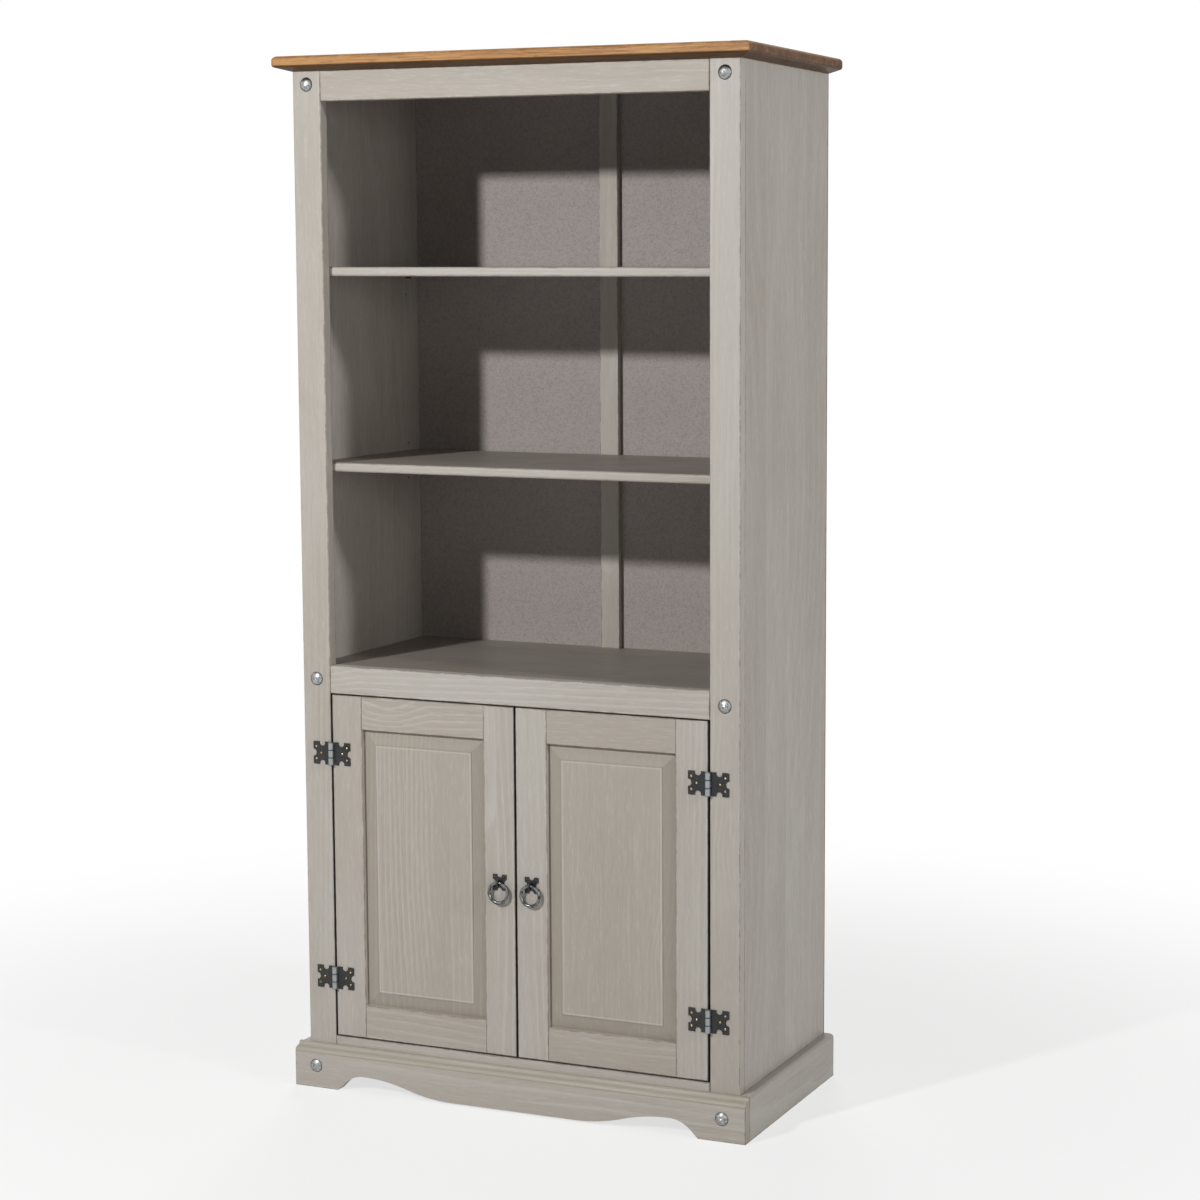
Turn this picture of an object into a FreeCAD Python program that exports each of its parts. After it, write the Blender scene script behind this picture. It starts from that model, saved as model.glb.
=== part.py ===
import FreeCAD, Part
import math
import os
import re
import Sketcher
from FreeCAD import Placement, Rotation, Vector

# Tall pine bookcase over a two-door cupboard, in millimetres.
# X runs across the front, Y from the front to the back and Z up from the floor.
# The origin is on the floor, in the middle of the width and of the depth.

SIZES = {
    # Carcase
    "carcase_width": 820,
    "carcase_depth": 396,
    "carcase_height": 1760,
    "side_thickness": 18,
    "stile_width": 54,
    "stile_thickness": 20,
    "stile_round": 3,
    "joint_round": 1,
    "top_rail_height": 50,
    "middle_rail_height": 48,
    "bottom_rail_height": 50,
    "deck_height": 748,
    "base_height": 91,
    "deck_thickness": 16,
    "cleat_width": 18,
    "cleat_height": 18,
    "rear_rail_thickness": 18,
    # Top board
    "top_thickness": 25,
    "top_overhang": 25,
    "top_slope_height": 7,
    "top_nose_round": 8,
    "top_lip_round": 5,
    # Back
    "back_thickness": 3,
    "back_joint": 1,
    "back_lap": 20,
    "strip_width": 36,
    "strip_thickness": 12,
    # Loose shelves and their pins
    "shelf_thickness": 16,
    "shelf_round": 5,
    "shelf_end_gap": 1,
    "shelf_front_gap": 1,
    "shelf_back_gap": 2,
    "upper_pin_height": 1414,
    "lower_pin_height": 1080,
    "cupboard_pin_height": 390,
    "pin_spacing": 32,
    "pin_radius": 2.5,
    "pin_clearance": 0.05,
    "pin_depth": 10,
    "pin_reach": 10,
    "pin_front_setback": 40,
    "pin_back_setback": 45,
    # Skirt boards
    "skirt_height": 76,
    "skirt_thickness": 20,
    "skirt_ledge": 6,
    "side_skirt_thickness": 18,
    "side_skirt_round": 7,
    "foot_width": 85,
    "foot_slope": 45,
    "scallop_height": 29,
    "scallop_distance": 137,
    "belly_height": 3.5,
    "belly_distance": 310,
    # Doors
    "door_gap": 2.5,
    "door_thickness": 20,
    "door_stile_width": 58,
    "door_rail_height": 58,
    "door_round": 1.2,
    "groove_setback": 9,
    "groove_width": 6,
    "groove_depth": 8,
    "tongue_play": 1,
    "tongue_clearance": 0.1,
    "panel_bevel": 25,
    "panel_edge_gap": 0.3,
    "field_setback": 2.8,
    "field_step": 1.2,
    # Hinges
    "hinge_distance": 103,
    "leaf_width": 36.5,
    "leaf_height": 40,
    "leaf_thickness": 1.6,
    "knuckle_radius": 4.5,
    "knuckle_gap": 0.4,
    "hinge_pin_radius": 2,
    "hinge_pin_clearance": 0.05,
    "hinge_pin_end": 0.5,
    "side_bite_radius": 5.6,
    "side_bite_inset": 2,
    "side_bite_distance": 19,
    "end_bite_radius": 6.2,
    "prong_nail_end": 6.3,
    "prong_nail_rise": 10.8,
    "middle_nail_distance": 21,
    "nail_head_radius": 3,
    "nail_head_height": 1.4,
    "nail_radius": 1.2,
    "nail_clearance": 0.1,
    "nail_length": 13,
    # Ring pulls
    "plate_width": 26,
    "plate_height": 28,
    "plate_thickness": 1.6,
    "plate_bite_radius": 5,
    "plate_nail_spread": 8.5,
    "plate_nail_head_radius": 1.8,
    "plate_nail_head_height": 0.8,
    "ring_radius": 17.2,
    "ring_wire_radius": 2.8,
    "eye_clearance": 0.6,
    "eye_wire_radius": 1.6,
    "eye_sink": 0.6,
    # Catches
    "strike_width": 26,
    "strike_height": 12,
    "strike_thickness": 1.2,
    "strike_inset": 1,
    "catch_gap": 0.3,
    "catch_width": 40,
    "catch_depth": 13,
    "catch_mount_height": 20,
    "catch_offset": 10,
    # Domed studs
    "stud_radius": 12,
    "stud_height": 5,
    "stud_shank_radius": 2,
    "stud_shank_length": 14,
    "stud_drop": 22,
    "stud_end": 42,
    "stud_rise": 39,
}

# Places that several pieces share, as formulas of the sizes
FRONT = "((top_overhang - carcase_depth) / 2)"
BACK = "((top_overhang + carcase_depth) / 2)"
BEHIND_STILES = f"({FRONT} + stile_thickness)"
BEFORE_BACK = f"({BACK} - back_thickness)"
SIDE_DEPTH = "(carcase_depth - stile_thickness - back_thickness)"
INNER = "(carcase_width / 2 - side_thickness)"
OPENING = "(carcase_width / 2 - stile_width)"
DECK_UNDERSIDE = "(deck_height - deck_thickness)"
BASE_UNDERSIDE = "(base_height - deck_thickness)"
DOOR_HEAD = "(deck_height - middle_rail_height)"
DOOR_TOP = f"({DOOR_HEAD} - door_gap)"
DOOR_BOTTOM = "(base_height + door_gap)"
DOOR_HEIGHT = f"({DOOR_TOP} - {DOOR_BOTTOM})"
DOOR_HINGE_EDGE = f"(door_gap - {OPENING})"
DOOR_MEETING_EDGE = "(-door_gap / 2)"
DOOR_MIDDLE = f"(({DOOR_TOP} + {DOOR_BOTTOM}) / 2)"
PANEL_LEFT = f"({DOOR_HINGE_EDGE} + door_stile_width)"
PANEL_RIGHT = f"({DOOR_MEETING_EDGE} - door_stile_width)"
PANEL_BOTTOM = f"({DOOR_BOTTOM} + door_rail_height)"
PANEL_TOP = f"({DOOR_TOP} - door_rail_height)"
HINGE_X = f"(door_gap / 2 - {OPENING})"
HINGE_Y = f"({FRONT} - knuckle_radius)"
PULL_X = f"({DOOR_MEETING_EDGE} - door_stile_width / 2)"
EYE_RADIUS = "(ring_wire_radius + eye_clearance + eye_wire_radius)"
EYE_Y = f"({FRONT} - plate_thickness + eye_sink - {EYE_RADIUS} - eye_wire_radius)"

# Turns that lay a primitive's own Z axis along another direction
UPRIGHT = Rotation()
TO_FRONT = Rotation(Vector(1, 0, 0), 90)
TO_BACK = Rotation(Vector(1, 0, 0), -90)
ALONG_X = Rotation(Vector(0, 1, 0), 90)

# Two places count as the same within this distance
SAME_PLACE = 0.001

doc = FreeCAD.newDocument("BookcaseCupboard")
pieces = []


def fill_sheet():
    """Write every driving size into the sheet, under its own name."""
    cells = doc.addObject("Spreadsheet::Sheet", "Sizes")
    for row, (name, value) in enumerate(SIZES.items(), start=1):
        cells.set(f"A{row}", name)
        cells.set(f"B{row}", str(value))
        cells.setAlias(f"B{row}", name)
    doc.recompute()
    return cells


sheet = fill_sheet()


def formula(text):
    """Point each size's name in a formula at its cell in the sheet."""
    return re.sub(r"(?<![0-9a-z_])[a-z_]+(?![a-z_(])", r"Sizes.\g<0>", text)


def bind(item, **formulas):
    """Tie properties of an object to formulas of the sizes."""
    for name, text in formulas.items():
        item.setExpression(name, formula(text))


def put(item, place, turn=UPRIGHT):
    """Turn an object, then tie its position to three formulas."""
    item.Placement = Placement(Vector(), turn)
    for axis, text in zip("xyz", place):
        item.setExpression(f"Placement.Base.{axis}", formula(text))


def box(name, size, corner):
    """Rectangular block from its lengths along X, Y and Z and its low corner."""
    item = doc.addObject("Part::Box", name)
    bind(item, Length=size[0], Width=size[1], Height=size[2])
    put(item, corner)
    return item


def cylinder(name, radius, length, start, turn):
    """Round bar of a length that begins at a point."""
    item = doc.addObject("Part::Cylinder", name)
    bind(item, Radius=radius, Height=length)
    put(item, start, turn)
    return item


def dome(name, radius, rise, middle):
    """Low round cap that faces the front, of a rim radius and a rise, with its rim's middle at a point."""
    ball = f"(({radius} * {radius} + {rise} * {rise}) / (2 * {rise}))"
    item = doc.addObject("Part::Sphere", name)
    bind(item, Radius=ball, Angle1=f"asin(({ball} - {rise}) / {ball})")
    x, y, z = middle
    put(item, (x, f"{y} + {ball} - {rise}", z), TO_FRONT)
    return item


def joined(name, items):
    """One solid from several that meet."""
    item = doc.addObject("Part::MultiFuse", name)
    item.Shapes = items
    item.Refine = True
    return item


def cut(name, base, tools):
    """A solid with others taken away from it."""
    waste = tools[0]
    if len(tools) > 1:
        waste = doc.addObject("Part::Compound", f"{name}_waste")
        waste.Links = tools
    item = doc.addObject("Part::Cut", name)
    item.Base = base
    item.Tool = waste
    return item


def rounded(name, base, radius, chosen):
    """The base with its chosen edges rounded by a size of the sheet."""
    doc.recompute()
    value = sheet.get(radius)
    bounds = base.Shape.BoundBox
    item = doc.addObject("Part::Fillet", name)
    item.Base = base
    numbered = enumerate(base.Shape.Edges, start=1)
    item.Edges = [(number, value, value) for number, edge in numbered if chosen(edge, bounds)]
    return item


def group(name, items):
    """Several separate solids kept together under one name."""
    item = doc.addObject("Part::Compound", name)
    item.Links = items
    return item


def mirrored(name, source):
    """The same piece on the other side of the middle plane."""
    item = doc.addObject("Part::Mirroring", name)
    item.Source = source
    item.Base = Vector(0, 0, 0)
    item.Normal = Vector(1, 0, 0)
    return item


def keep(item, label):
    """Name a finished piece and list it for writing."""
    item.Label = label
    pieces.append(item)
    return item


def keep_pair(item, label):
    """Keep a left piece and its mirrored right twin; the label starts with left."""
    keep(item, label)
    other = label.replace("left", "right", 1)
    keep(mirrored(f"{other}_mirror", item), other)


def in_front(edge, bounds):
    """True for an edge that lies in the front plane."""
    return all(abs(corner.Y - bounds.YMin) < SAME_PLACE for corner in edge.Vertexes)


def in_front_upright(edge, bounds):
    """True for an upright edge in the front plane."""
    return in_front(edge, bounds) and edge.BoundBox.ZLength > edge.BoundBox.XLength


def in_front_level(edge, bounds):
    """True for an edge across the front plane."""
    return in_front(edge, bounds) and edge.BoundBox.XLength > edge.BoundBox.ZLength


def at_outer_top(edge, bounds):
    """True for the top edge on the low X side."""
    corners = edge.Vertexes
    at_top = all(abs(corner.Z - bounds.ZMax) < SAME_PLACE for corner in corners)
    return at_top and all(abs(corner.X - bounds.XMin) < SAME_PLACE for corner in corners)


# Sketch helpers


def new_body(name, place):
    """Empty body at a place given by three formulas."""
    body = doc.addObject("PartDesign::Body", name)
    put(body, place)
    return body


def new_sketch(body, name, plane):
    """Sketch on one of the body's own origin planes."""
    sketch = body.newObject("Sketcher::SketchObject", name)
    support = [part for part in body.Origin.OriginFeatures if part.Role == plane][0]
    sketch.AttachmentSupport = [(support, "")]
    sketch.MapMode = "FlatFace"
    return sketch


def dimension(sketch, name, text, *constraint):
    """Add a dimension to a sketch and tie it to a formula."""
    index = sketch.addConstraint(Sketcher.Constraint(*constraint))
    sketch.renameConstraint(index, name)
    sketch.setExpression(f"Constraints.{name}", formula(text))


def line(sketch, start, end):
    """Straight sketch line between two points of the sketch plane."""
    return sketch.addGeometry(Part.LineSegment(Vector(*start, 0), Vector(*end, 0)))


def arc(sketch, middle, radius, first, last):
    """Round sketch line about a middle, from one angle to the next in degrees."""
    circle = Part.Circle(Vector(*middle, 0), Vector(0, 0, 1), radius)
    return sketch.addGeometry(Part.ArcOfCircle(circle, math.radians(first), math.radians(last)))


# How a sketch numbers the points of its lines, its origin and its axes


def start_of(number):
    """The first end of a sketch line."""
    return number, 1


def end_of(number):
    """The last end of a sketch line."""
    return number, 2


def middle_of(number):
    """The middle of a round sketch line."""
    return number, 3


def origin():
    """The point where the axes of a sketch cross."""
    return -1, 1


def level_axis():
    """The axis of a sketch that runs across."""
    return -1


def upright_axis():
    """The axis of a sketch that runs up."""
    return -2


def meet(sketch, *joint):
    """Let two line ends meet."""
    sketch.addConstraint(Sketcher.Constraint("Coincident", *joint))


def flow(sketch, *joint):
    """Let two line ends meet with no corner."""
    sketch.addConstraint(Sketcher.Constraint("Tangent", *joint))


def level(sketch, *lines):
    """Keep lines level."""
    for number in lines:
        sketch.addConstraint(Sketcher.Constraint("Horizontal", number))


def plumb(sketch, *lines):
    """Keep lines upright."""
    for number in lines:
        sketch.addConstraint(Sketcher.Constraint("Vertical", number))


# Top board: an overhanging slab whose underside slopes in to the carcase


def outer_edges(shape, height):
    """Names of the outermost front and side edges at a height."""
    whole = shape.BoundBox
    names = []
    for number, edge in enumerate(shape.Edges, start=1):
        reach = edge.BoundBox
        at_height = abs(reach.ZMin - height) + abs(reach.ZMax - height) < SAME_PLACE
        at_side = reach.XLength < SAME_PLACE and whole.XMax - abs(reach.XMax) < SAME_PLACE
        at_front = abs(reach.YMax - whole.YMin) < SAME_PLACE
        if at_height and (at_side or at_front):
            names.append(f"Edge{number}")
    return names


def top_board():
    width = sheet.carcase_width + 2 * sheet.top_overhang
    depth = sheet.carcase_depth + sheet.top_overhang
    body = new_body("top_board_body", ("0", "0", "carcase_height"))
    sketch = new_sketch(body, "top_outline", "XY_Plane")
    front = line(sketch, (-width / 2, -depth / 2), (width / 2, -depth / 2))
    right = line(sketch, (width / 2, -depth / 2), (width / 2, depth / 2))
    back = line(sketch, (width / 2, depth / 2), (-width / 2, depth / 2))
    left = line(sketch, (-width / 2, depth / 2), (-width / 2, -depth / 2))
    sides = (front, right, back, left)
    for one, other in zip(sides, sides[1:] + sides[:1]):
        meet(sketch, *end_of(one), *start_of(other))
    level(sketch, front, back)
    plumb(sketch, right, left)
    sketch.addConstraint(Sketcher.Constraint("Symmetric", *start_of(front), *start_of(back), *origin()))
    dimension(sketch, "width", "carcase_width + 2 * top_overhang", "Distance", front, width)
    dimension(sketch, "depth", "carcase_depth + top_overhang", "Distance", right, depth)
    slab = body.newObject("PartDesign::Pad", "top_slab")
    slab.Profile = sketch
    bind(slab, Length="top_thickness")
    doc.recompute()

    bounds = slab.Shape.BoundBox
    slope = body.newObject("PartDesign::Chamfer", "top_slope")
    slope.Base = (slab, outer_edges(slab.Shape, bounds.ZMin))
    slope.ChamferType = "Two distances"
    bind(slope, Size="top_slope_height", Size2="top_overhang")
    doc.recompute()
    lip = body.newObject("PartDesign::Fillet", "top_lip")
    lip.Base = (slope, outer_edges(slope.Shape, bounds.ZMin + sheet.top_slope_height))
    bind(lip, Radius="top_lip_round")
    doc.recompute()
    nose = body.newObject("PartDesign::Fillet", "top_nose")
    nose.Base = (lip, outer_edges(lip.Shape, bounds.ZMax))
    bind(nose, Radius="top_nose_round")
    keep(body, "top_board")


# Side panels, drilled for the shelf pins

PIN_HEIGHTS = {
    "upper": "upper_pin_height",
    "lower": "lower_pin_height",
    "cupboard": "cupboard_pin_height",
}
PIN_COLUMNS = (f"{BEHIND_STILES} + pin_front_setback", f"{BEFORE_BACK} - pin_back_setback")


def side_panels():
    blank = box("side_blank", ("side_thickness", SIDE_DEPTH, "carcase_height"),
                ("-carcase_width / 2", BEHIND_STILES, "0"))
    holes = []
    for shelf, height in PIN_HEIGHTS.items():
        for column, depth in enumerate(PIN_COLUMNS):
            for step in (-1, 0, 1):
                place = (f"-{INNER} - pin_depth", depth, f"{height} + {step} * pin_spacing")
                name = f"{shelf}_hole_{column}_{step + 1}"
                holes.append(cylinder(name, "pin_radius + pin_clearance", "pin_depth", place, ALONG_X))
    keep_pair(cut("left_side_drilled", blank, holes), "left_side_panel")


# Face frame: two stiles and three rails


def front_stiles():
    blank = box("stile_blank", ("stile_width", "stile_thickness", "carcase_height"),
                ("-carcase_width / 2", FRONT, "0"))
    keep_pair(rounded("left_stile_rounded", blank, "stile_round", in_front_upright), "left_front_stile")


def face_rail(label, height, bottom):
    size = (f"2 * {OPENING}", "stile_thickness", height)
    blank = box(f"{label}_blank", size, (f"-{OPENING}", FRONT, bottom))
    keep(rounded(f"{label}_rounded", blank, "joint_round", in_front), label)


# Fixed decks, loose shelves and their pins


def deck(label, underside):
    item = box(f"{label}_board", (f"2 * {INNER}", SIDE_DEPTH, "deck_thickness"),
               (f"-{INNER}", BEHIND_STILES, underside))
    keep(item, label)


def loose_shelf(shelf, height):
    front = f"{BEHIND_STILES} + shelf_front_gap"
    depth = f"{SIDE_DEPTH} - shelf_front_gap - strip_thickness - shelf_back_gap"
    blank = box(f"{shelf}_shelf_blank", (f"2 * ({INNER} - shelf_end_gap)", depth, "shelf_thickness"),
                (f"shelf_end_gap - {INNER}", front, f"{height} + pin_radius"))
    keep(rounded(f"{shelf}_shelf_rounded", blank, "shelf_round", in_front_level), f"{shelf}_shelf")


def shelf_pins(shelf, height):
    left = []
    for column, depth in enumerate(PIN_COLUMNS):
        place = (f"-{INNER} - pin_depth", depth, height)
        left.append(cylinder(f"{shelf}_pin_{column}", "pin_radius", "pin_depth + pin_reach", place, ALONG_X))
    right = [mirrored(f"{pin.Name}_right", pin) for pin in left]
    keep(group(f"{shelf}_pins_all", left + right), f"{shelf}_shelf_pins")


# Back sheets and the battens over their joint


def back_sheets():
    bottom = f"{BASE_UNDERSIDE} - back_lap"
    size = ("carcase_width / 2 - back_joint / 2", "back_thickness", f"carcase_height - ({bottom})")
    keep_pair(box("left_sheet", size, ("-carcase_width / 2", BEFORE_BACK, bottom)), "left_back_sheet")


def back_strip(label, bottom, top):
    corner = ("-strip_width / 2", f"{BEFORE_BACK} - strip_thickness", bottom)
    keep(box(f"{label}_batten", ("strip_width", "strip_thickness", f"{top} - {bottom}"), corner), label)


# Skirt boards round the foot


def front_skirt():
    half = sheet.carcase_width / 2 + sheet.side_skirt_thickness
    tall = sheet.skirt_height
    foot = sheet.foot_width
    slope = math.radians(sheet.foot_slope)
    peak_x = sheet.scallop_distance
    peak_z = sheet.scallop_height
    belly_x = sheet.belly_distance
    belly_z = sheet.belly_height

    # The peak's arc leaves the slanted cut with no corner and is level at the peak
    across = peak_x - foot
    peak_round = (across * math.sin(slope) - peak_z * math.cos(slope)) / (1 - math.cos(slope))
    cut_length = (peak_z - peak_round * (1 - math.cos(slope))) / math.sin(slope)
    cut_x = foot + cut_length * math.cos(slope)
    cut_z = cut_length * math.sin(slope)

    # Two equal arcs run from the peak down to the belly
    run = (belly_x - peak_x) / 2
    drop = (peak_z - belly_z) / 2
    swing = 2 * math.atan2(drop, run)
    wave_round = run / math.sin(swing)
    swing_angle = math.degrees(swing)

    body = new_body("front_skirt_body", ("0", FRONT, "0"))
    sketch = new_sketch(body, "skirt_outline", "XZ_Plane")
    bottom = line(sketch, (-half, 0), (foot - half, 0))
    slant = line(sketch, (foot - half, 0), (cut_x - half, cut_z))
    peak = arc(sketch, (peak_x - half, peak_z - peak_round), peak_round, 90, 90 + sheet.foot_slope)
    fall = arc(sketch, (peak_x - half, peak_z - wave_round), wave_round, 90 - swing_angle, 90)
    settle = arc(sketch, (belly_x - half, belly_z + wave_round), wave_round, 270 - swing_angle, 270)
    belly = line(sketch, (belly_x - half, belly_z), (0, belly_z))
    middle = line(sketch, (0, belly_z), (0, tall))
    top = line(sketch, (0, tall), (-half, tall))
    end = line(sketch, (-half, tall), (-half, 0))
    meet(sketch, *end_of(end), *start_of(bottom))
    meet(sketch, *end_of(bottom), *start_of(slant))
    flow(sketch, *end_of(slant), *end_of(peak))
    flow(sketch, *start_of(peak), *end_of(fall))
    flow(sketch, *start_of(fall), *start_of(settle))
    flow(sketch, *end_of(settle), *start_of(belly))
    meet(sketch, *end_of(belly), *start_of(middle))
    meet(sketch, *end_of(middle), *start_of(top))
    meet(sketch, *end_of(top), *start_of(end))
    level(sketch, bottom, belly, top)
    plumb(sketch, middle, end)
    sketch.addConstraint(Sketcher.Constraint("PointOnObject", *start_of(bottom), level_axis()))
    sketch.addConstraint(Sketcher.Constraint("PointOnObject", *start_of(middle), upright_axis()))
    sketch.addConstraint(Sketcher.Constraint("Vertical", *middle_of(peak), *start_of(peak)))
    sketch.addConstraint(Sketcher.Constraint("Equal", fall, settle))
    dimension(sketch, "half_length", "carcase_width / 2 + side_skirt_thickness", "Distance", top, half)
    dimension(sketch, "height", "skirt_height", "Distance", end, tall)
    dimension(sketch, "foot", "foot_width", "Distance", bottom, foot)
    dimension(sketch, "slope", "foot_slope * 1deg", "Angle", slant, slope)
    dimension(sketch, "peak_height", "scallop_height", "DistanceY", *origin(), *start_of(peak), peak_z)
    dimension(sketch, "peak_distance", "scallop_distance", "DistanceX",
              *start_of(bottom), *start_of(peak), peak_x)
    dimension(sketch, "belly_height", "belly_height", "DistanceY", *origin(), *start_of(belly), belly_z)
    dimension(sketch, "belly_distance", "belly_distance", "DistanceX",
              *start_of(bottom), *start_of(belly), belly_x)
    board = body.newObject("PartDesign::Pad", "skirt_board")
    board.Profile = sketch
    bind(board, Length="skirt_thickness")
    doc.recompute()

    # A hollow and a round of equal radius leave a ledge at the top
    deep = sheet.skirt_thickness
    ledge = sheet.skirt_ledge
    turn = (deep - ledge) / 2
    moulding = new_sketch(body, "skirt_moulding", "YZ_Plane")
    hollow = arc(moulding, (-ledge - turn, tall), turn, 270, 360)
    swell = arc(moulding, (-ledge - turn, tall - 2 * turn), turn, 90, 180)
    face = line(moulding, (-deep, tall - 2 * turn), (-deep, tall))
    crown = line(moulding, (-deep, tall), (-ledge, tall))
    meet(moulding, *end_of(crown), *end_of(hollow))
    flow(moulding, *start_of(hollow), *start_of(swell))
    flow(moulding, *end_of(swell), *start_of(face))
    meet(moulding, *end_of(face), *start_of(crown))
    level(moulding, crown)
    plumb(moulding, face)
    moulding.addConstraint(Sketcher.Constraint("Equal", hollow, swell))
    moulding.addConstraint(Sketcher.Constraint("Horizontal", *middle_of(hollow), *end_of(hollow)))
    dimension(moulding, "top", "skirt_height", "DistanceY", *origin(), *start_of(crown), tall)
    dimension(moulding, "deep", "skirt_thickness", "DistanceX", *start_of(crown), *origin(), deep)
    dimension(moulding, "ledge", "skirt_ledge", "DistanceX", *end_of(crown), *origin(), ledge)
    carved = body.newObject("PartDesign::Pocket", "skirt_carved")
    carved.Profile = moulding
    carved.Type = "ThroughAll"
    carved.Midplane = True
    doc.recompute()

    whole = body.newObject("PartDesign::Mirrored", "skirt_whole")
    whole.Originals = [board, carved]
    plane = [part for part in body.Origin.OriginFeatures if part.Role == "YZ_Plane"][0]
    whole.MirrorPlane = (plane, [""])
    body.Tip = whole
    keep(body, "front_skirt")


def side_skirts():
    blank = box("side_skirt_blank", ("side_skirt_thickness", "carcase_depth", "skirt_height"),
                ("-carcase_width / 2 - side_skirt_thickness", FRONT, "0"))
    keep_pair(rounded("left_skirt_rounded", blank, "side_skirt_round", at_outer_top), "left_skirt")


# Hidden rail and cleats


def rear_base_rail():
    corner = (f"-{INNER}", f"{BEFORE_BACK} - rear_rail_thickness", "0")
    keep(box("rear_rail", (f"2 * {INNER}", "rear_rail_thickness", BASE_UNDERSIDE), corner), "rear_base_rail")


def cleats(label, top):
    length = f"{SIDE_DEPTH} - rear_rail_thickness"
    left = box(f"{label}_left", ("cleat_width", length, "cleat_height"),
               (f"-{INNER}", BEHIND_STILES, f"{top} - cleat_height"))
    keep(group(f"{label}_both", [left, mirrored(f"{label}_right", left)]), label)


# Doors: grooved frame members with stub tenons round a raised panel

GROOVE_Y = f"({FRONT} + groove_setback)"
TONGUE_Y = f"({GROOVE_Y} + tongue_clearance)"
TONGUE_THICKNESS = "(groove_width - 2 * tongue_clearance)"
TONGUE_REACH = "(groove_depth - tongue_play)"


def door_stile(label, low_x, groove_x):
    blank = box(f"{label}_blank", ("door_stile_width", "door_thickness", DOOR_HEIGHT),
                (low_x, FRONT, DOOR_BOTTOM))
    groove = box(f"{label}_groove", ("groove_depth", "groove_width", DOOR_HEIGHT),
                 (groove_x, GROOVE_Y, DOOR_BOTTOM))
    grooved = cut(f"{label}_grooved", blank, [groove])
    keep_pair(rounded(f"{label}_rounded", grooved, "door_round", in_front), label)


def door_rail(label, bottom, groove_z):
    length = f"({PANEL_RIGHT} - {PANEL_LEFT})"
    blank = box(f"{label}_blank", (length, "door_thickness", "door_rail_height"), (PANEL_LEFT, FRONT, bottom))
    tenon = box(f"{label}_tenon", (f"{length} + 2 * {TONGUE_REACH}", TONGUE_THICKNESS, "door_rail_height"),
                (f"{PANEL_LEFT} - {TONGUE_REACH}", TONGUE_Y, bottom))
    groove = box(f"{label}_groove", (f"{length} + 2 * groove_depth", "groove_width", "groove_depth"),
                 (f"{PANEL_LEFT} - groove_depth", GROOVE_Y, groove_z))
    grooved = cut(f"{label}_grooved", joined(f"{label}_tenoned", [blank, tenon]), [groove])
    keep_pair(rounded(f"{label}_rounded", grooved, "door_round", in_front), label)


def door_panel():
    width = f"({PANEL_RIGHT} - {PANEL_LEFT})"
    height = f"({PANEL_TOP} - {PANEL_BOTTOM})"
    tongue = box("panel_tongue",
                 (f"{width} + 2 * {TONGUE_REACH}", TONGUE_THICKNESS, f"{height} + 2 * {TONGUE_REACH}"),
                 (f"{PANEL_LEFT} - {TONGUE_REACH}", TONGUE_Y, f"{PANEL_BOTTOM} - {TONGUE_REACH}"))
    bevel = doc.addObject("Part::Wedge", "panel_bevel_block")
    bind(bevel, Ymin="0", Ymax=f"{TONGUE_Y} - ({FRONT} + field_setback + field_step)")
    bind(bevel, Xmin="panel_bevel", Xmax=f"{width} - panel_bevel")
    bind(bevel, Zmin="panel_bevel", Zmax=f"{height} - panel_bevel")
    bind(bevel, X2min="panel_edge_gap", X2max=f"{width} - panel_edge_gap")
    bind(bevel, Z2min="panel_edge_gap", Z2max=f"{height} - panel_edge_gap")
    put(bevel, (PANEL_LEFT, f"{FRONT} + field_setback + field_step", PANEL_BOTTOM))
    field = box("panel_field",
                (f"{width} - 2 * panel_bevel", f"{TONGUE_Y} - ({FRONT} + field_setback)",
                 f"{height} - 2 * panel_bevel"),
                (f"{PANEL_LEFT} + panel_bevel", f"{FRONT} + field_setback", f"{PANEL_BOTTOM} + panel_bevel"))
    keep_pair(joined("panel_whole", [tongue, bevel, field]), "left_door_panel")


# Butterfly hinges: two leaves with round bites, three knuckles and a pin

HINGE_HEIGHTS = {
    "upper": f"({DOOR_TOP} - hinge_distance)",
    "lower": f"({DOOR_BOTTOM} + hinge_distance)",
}
KNUCKLE = "(leaf_height / 3)"
KNUCKLE_CUT = "(knuckle_radius + knuckle_gap)"
NAIL_SPOTS = {
    "low": ("(leaf_width - prong_nail_end)", "(-prong_nail_rise)"),
    "high": ("(leaf_width - prong_nail_end)", "prong_nail_rise"),
    "middle": ("middle_nail_distance", "0"),
}


def leaf_x(side, distance):
    """X of a place that lies a distance from the hinge's axis; side is -1 on the frame, 1 on the door."""
    return f"{HINGE_X} + {side} * {distance}"


def leaf_waste(name, side, height):
    """The round bites, the nail holes and the pin's bore of one leaf."""
    waste = []
    bites = {
        "top_bite": ("side_bite_distance", "leaf_height / 2 - side_bite_inset", "side_bite_radius"),
        "bottom_bite": ("side_bite_distance", "side_bite_inset - leaf_height / 2", "side_bite_radius"),
        "end_bite": ("leaf_width", "0", "end_bite_radius"),
    }
    for spot, (distance, rise, radius) in bites.items():
        place = (leaf_x(side, distance), FRONT, f"{height} + {rise}")
        waste.append(cylinder(f"{name}_{spot}", radius, "leaf_thickness", place, TO_FRONT))
    for spot, (distance, rise) in NAIL_SPOTS.items():
        place = (leaf_x(side, distance), FRONT, f"{height} + {rise}")
        waste.append(cylinder(f"{name}_{spot}_hole", "nail_radius + nail_clearance", "leaf_thickness",
                              place, TO_FRONT))
    low_end = (HINGE_X, HINGE_Y, f"{height} - leaf_height / 2")
    bore_radius = "hinge_pin_radius + hinge_pin_clearance"
    waste.append(cylinder(f"{name}_bore", bore_radius, "leaf_height", low_end, UPRIGHT))
    return waste


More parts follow.
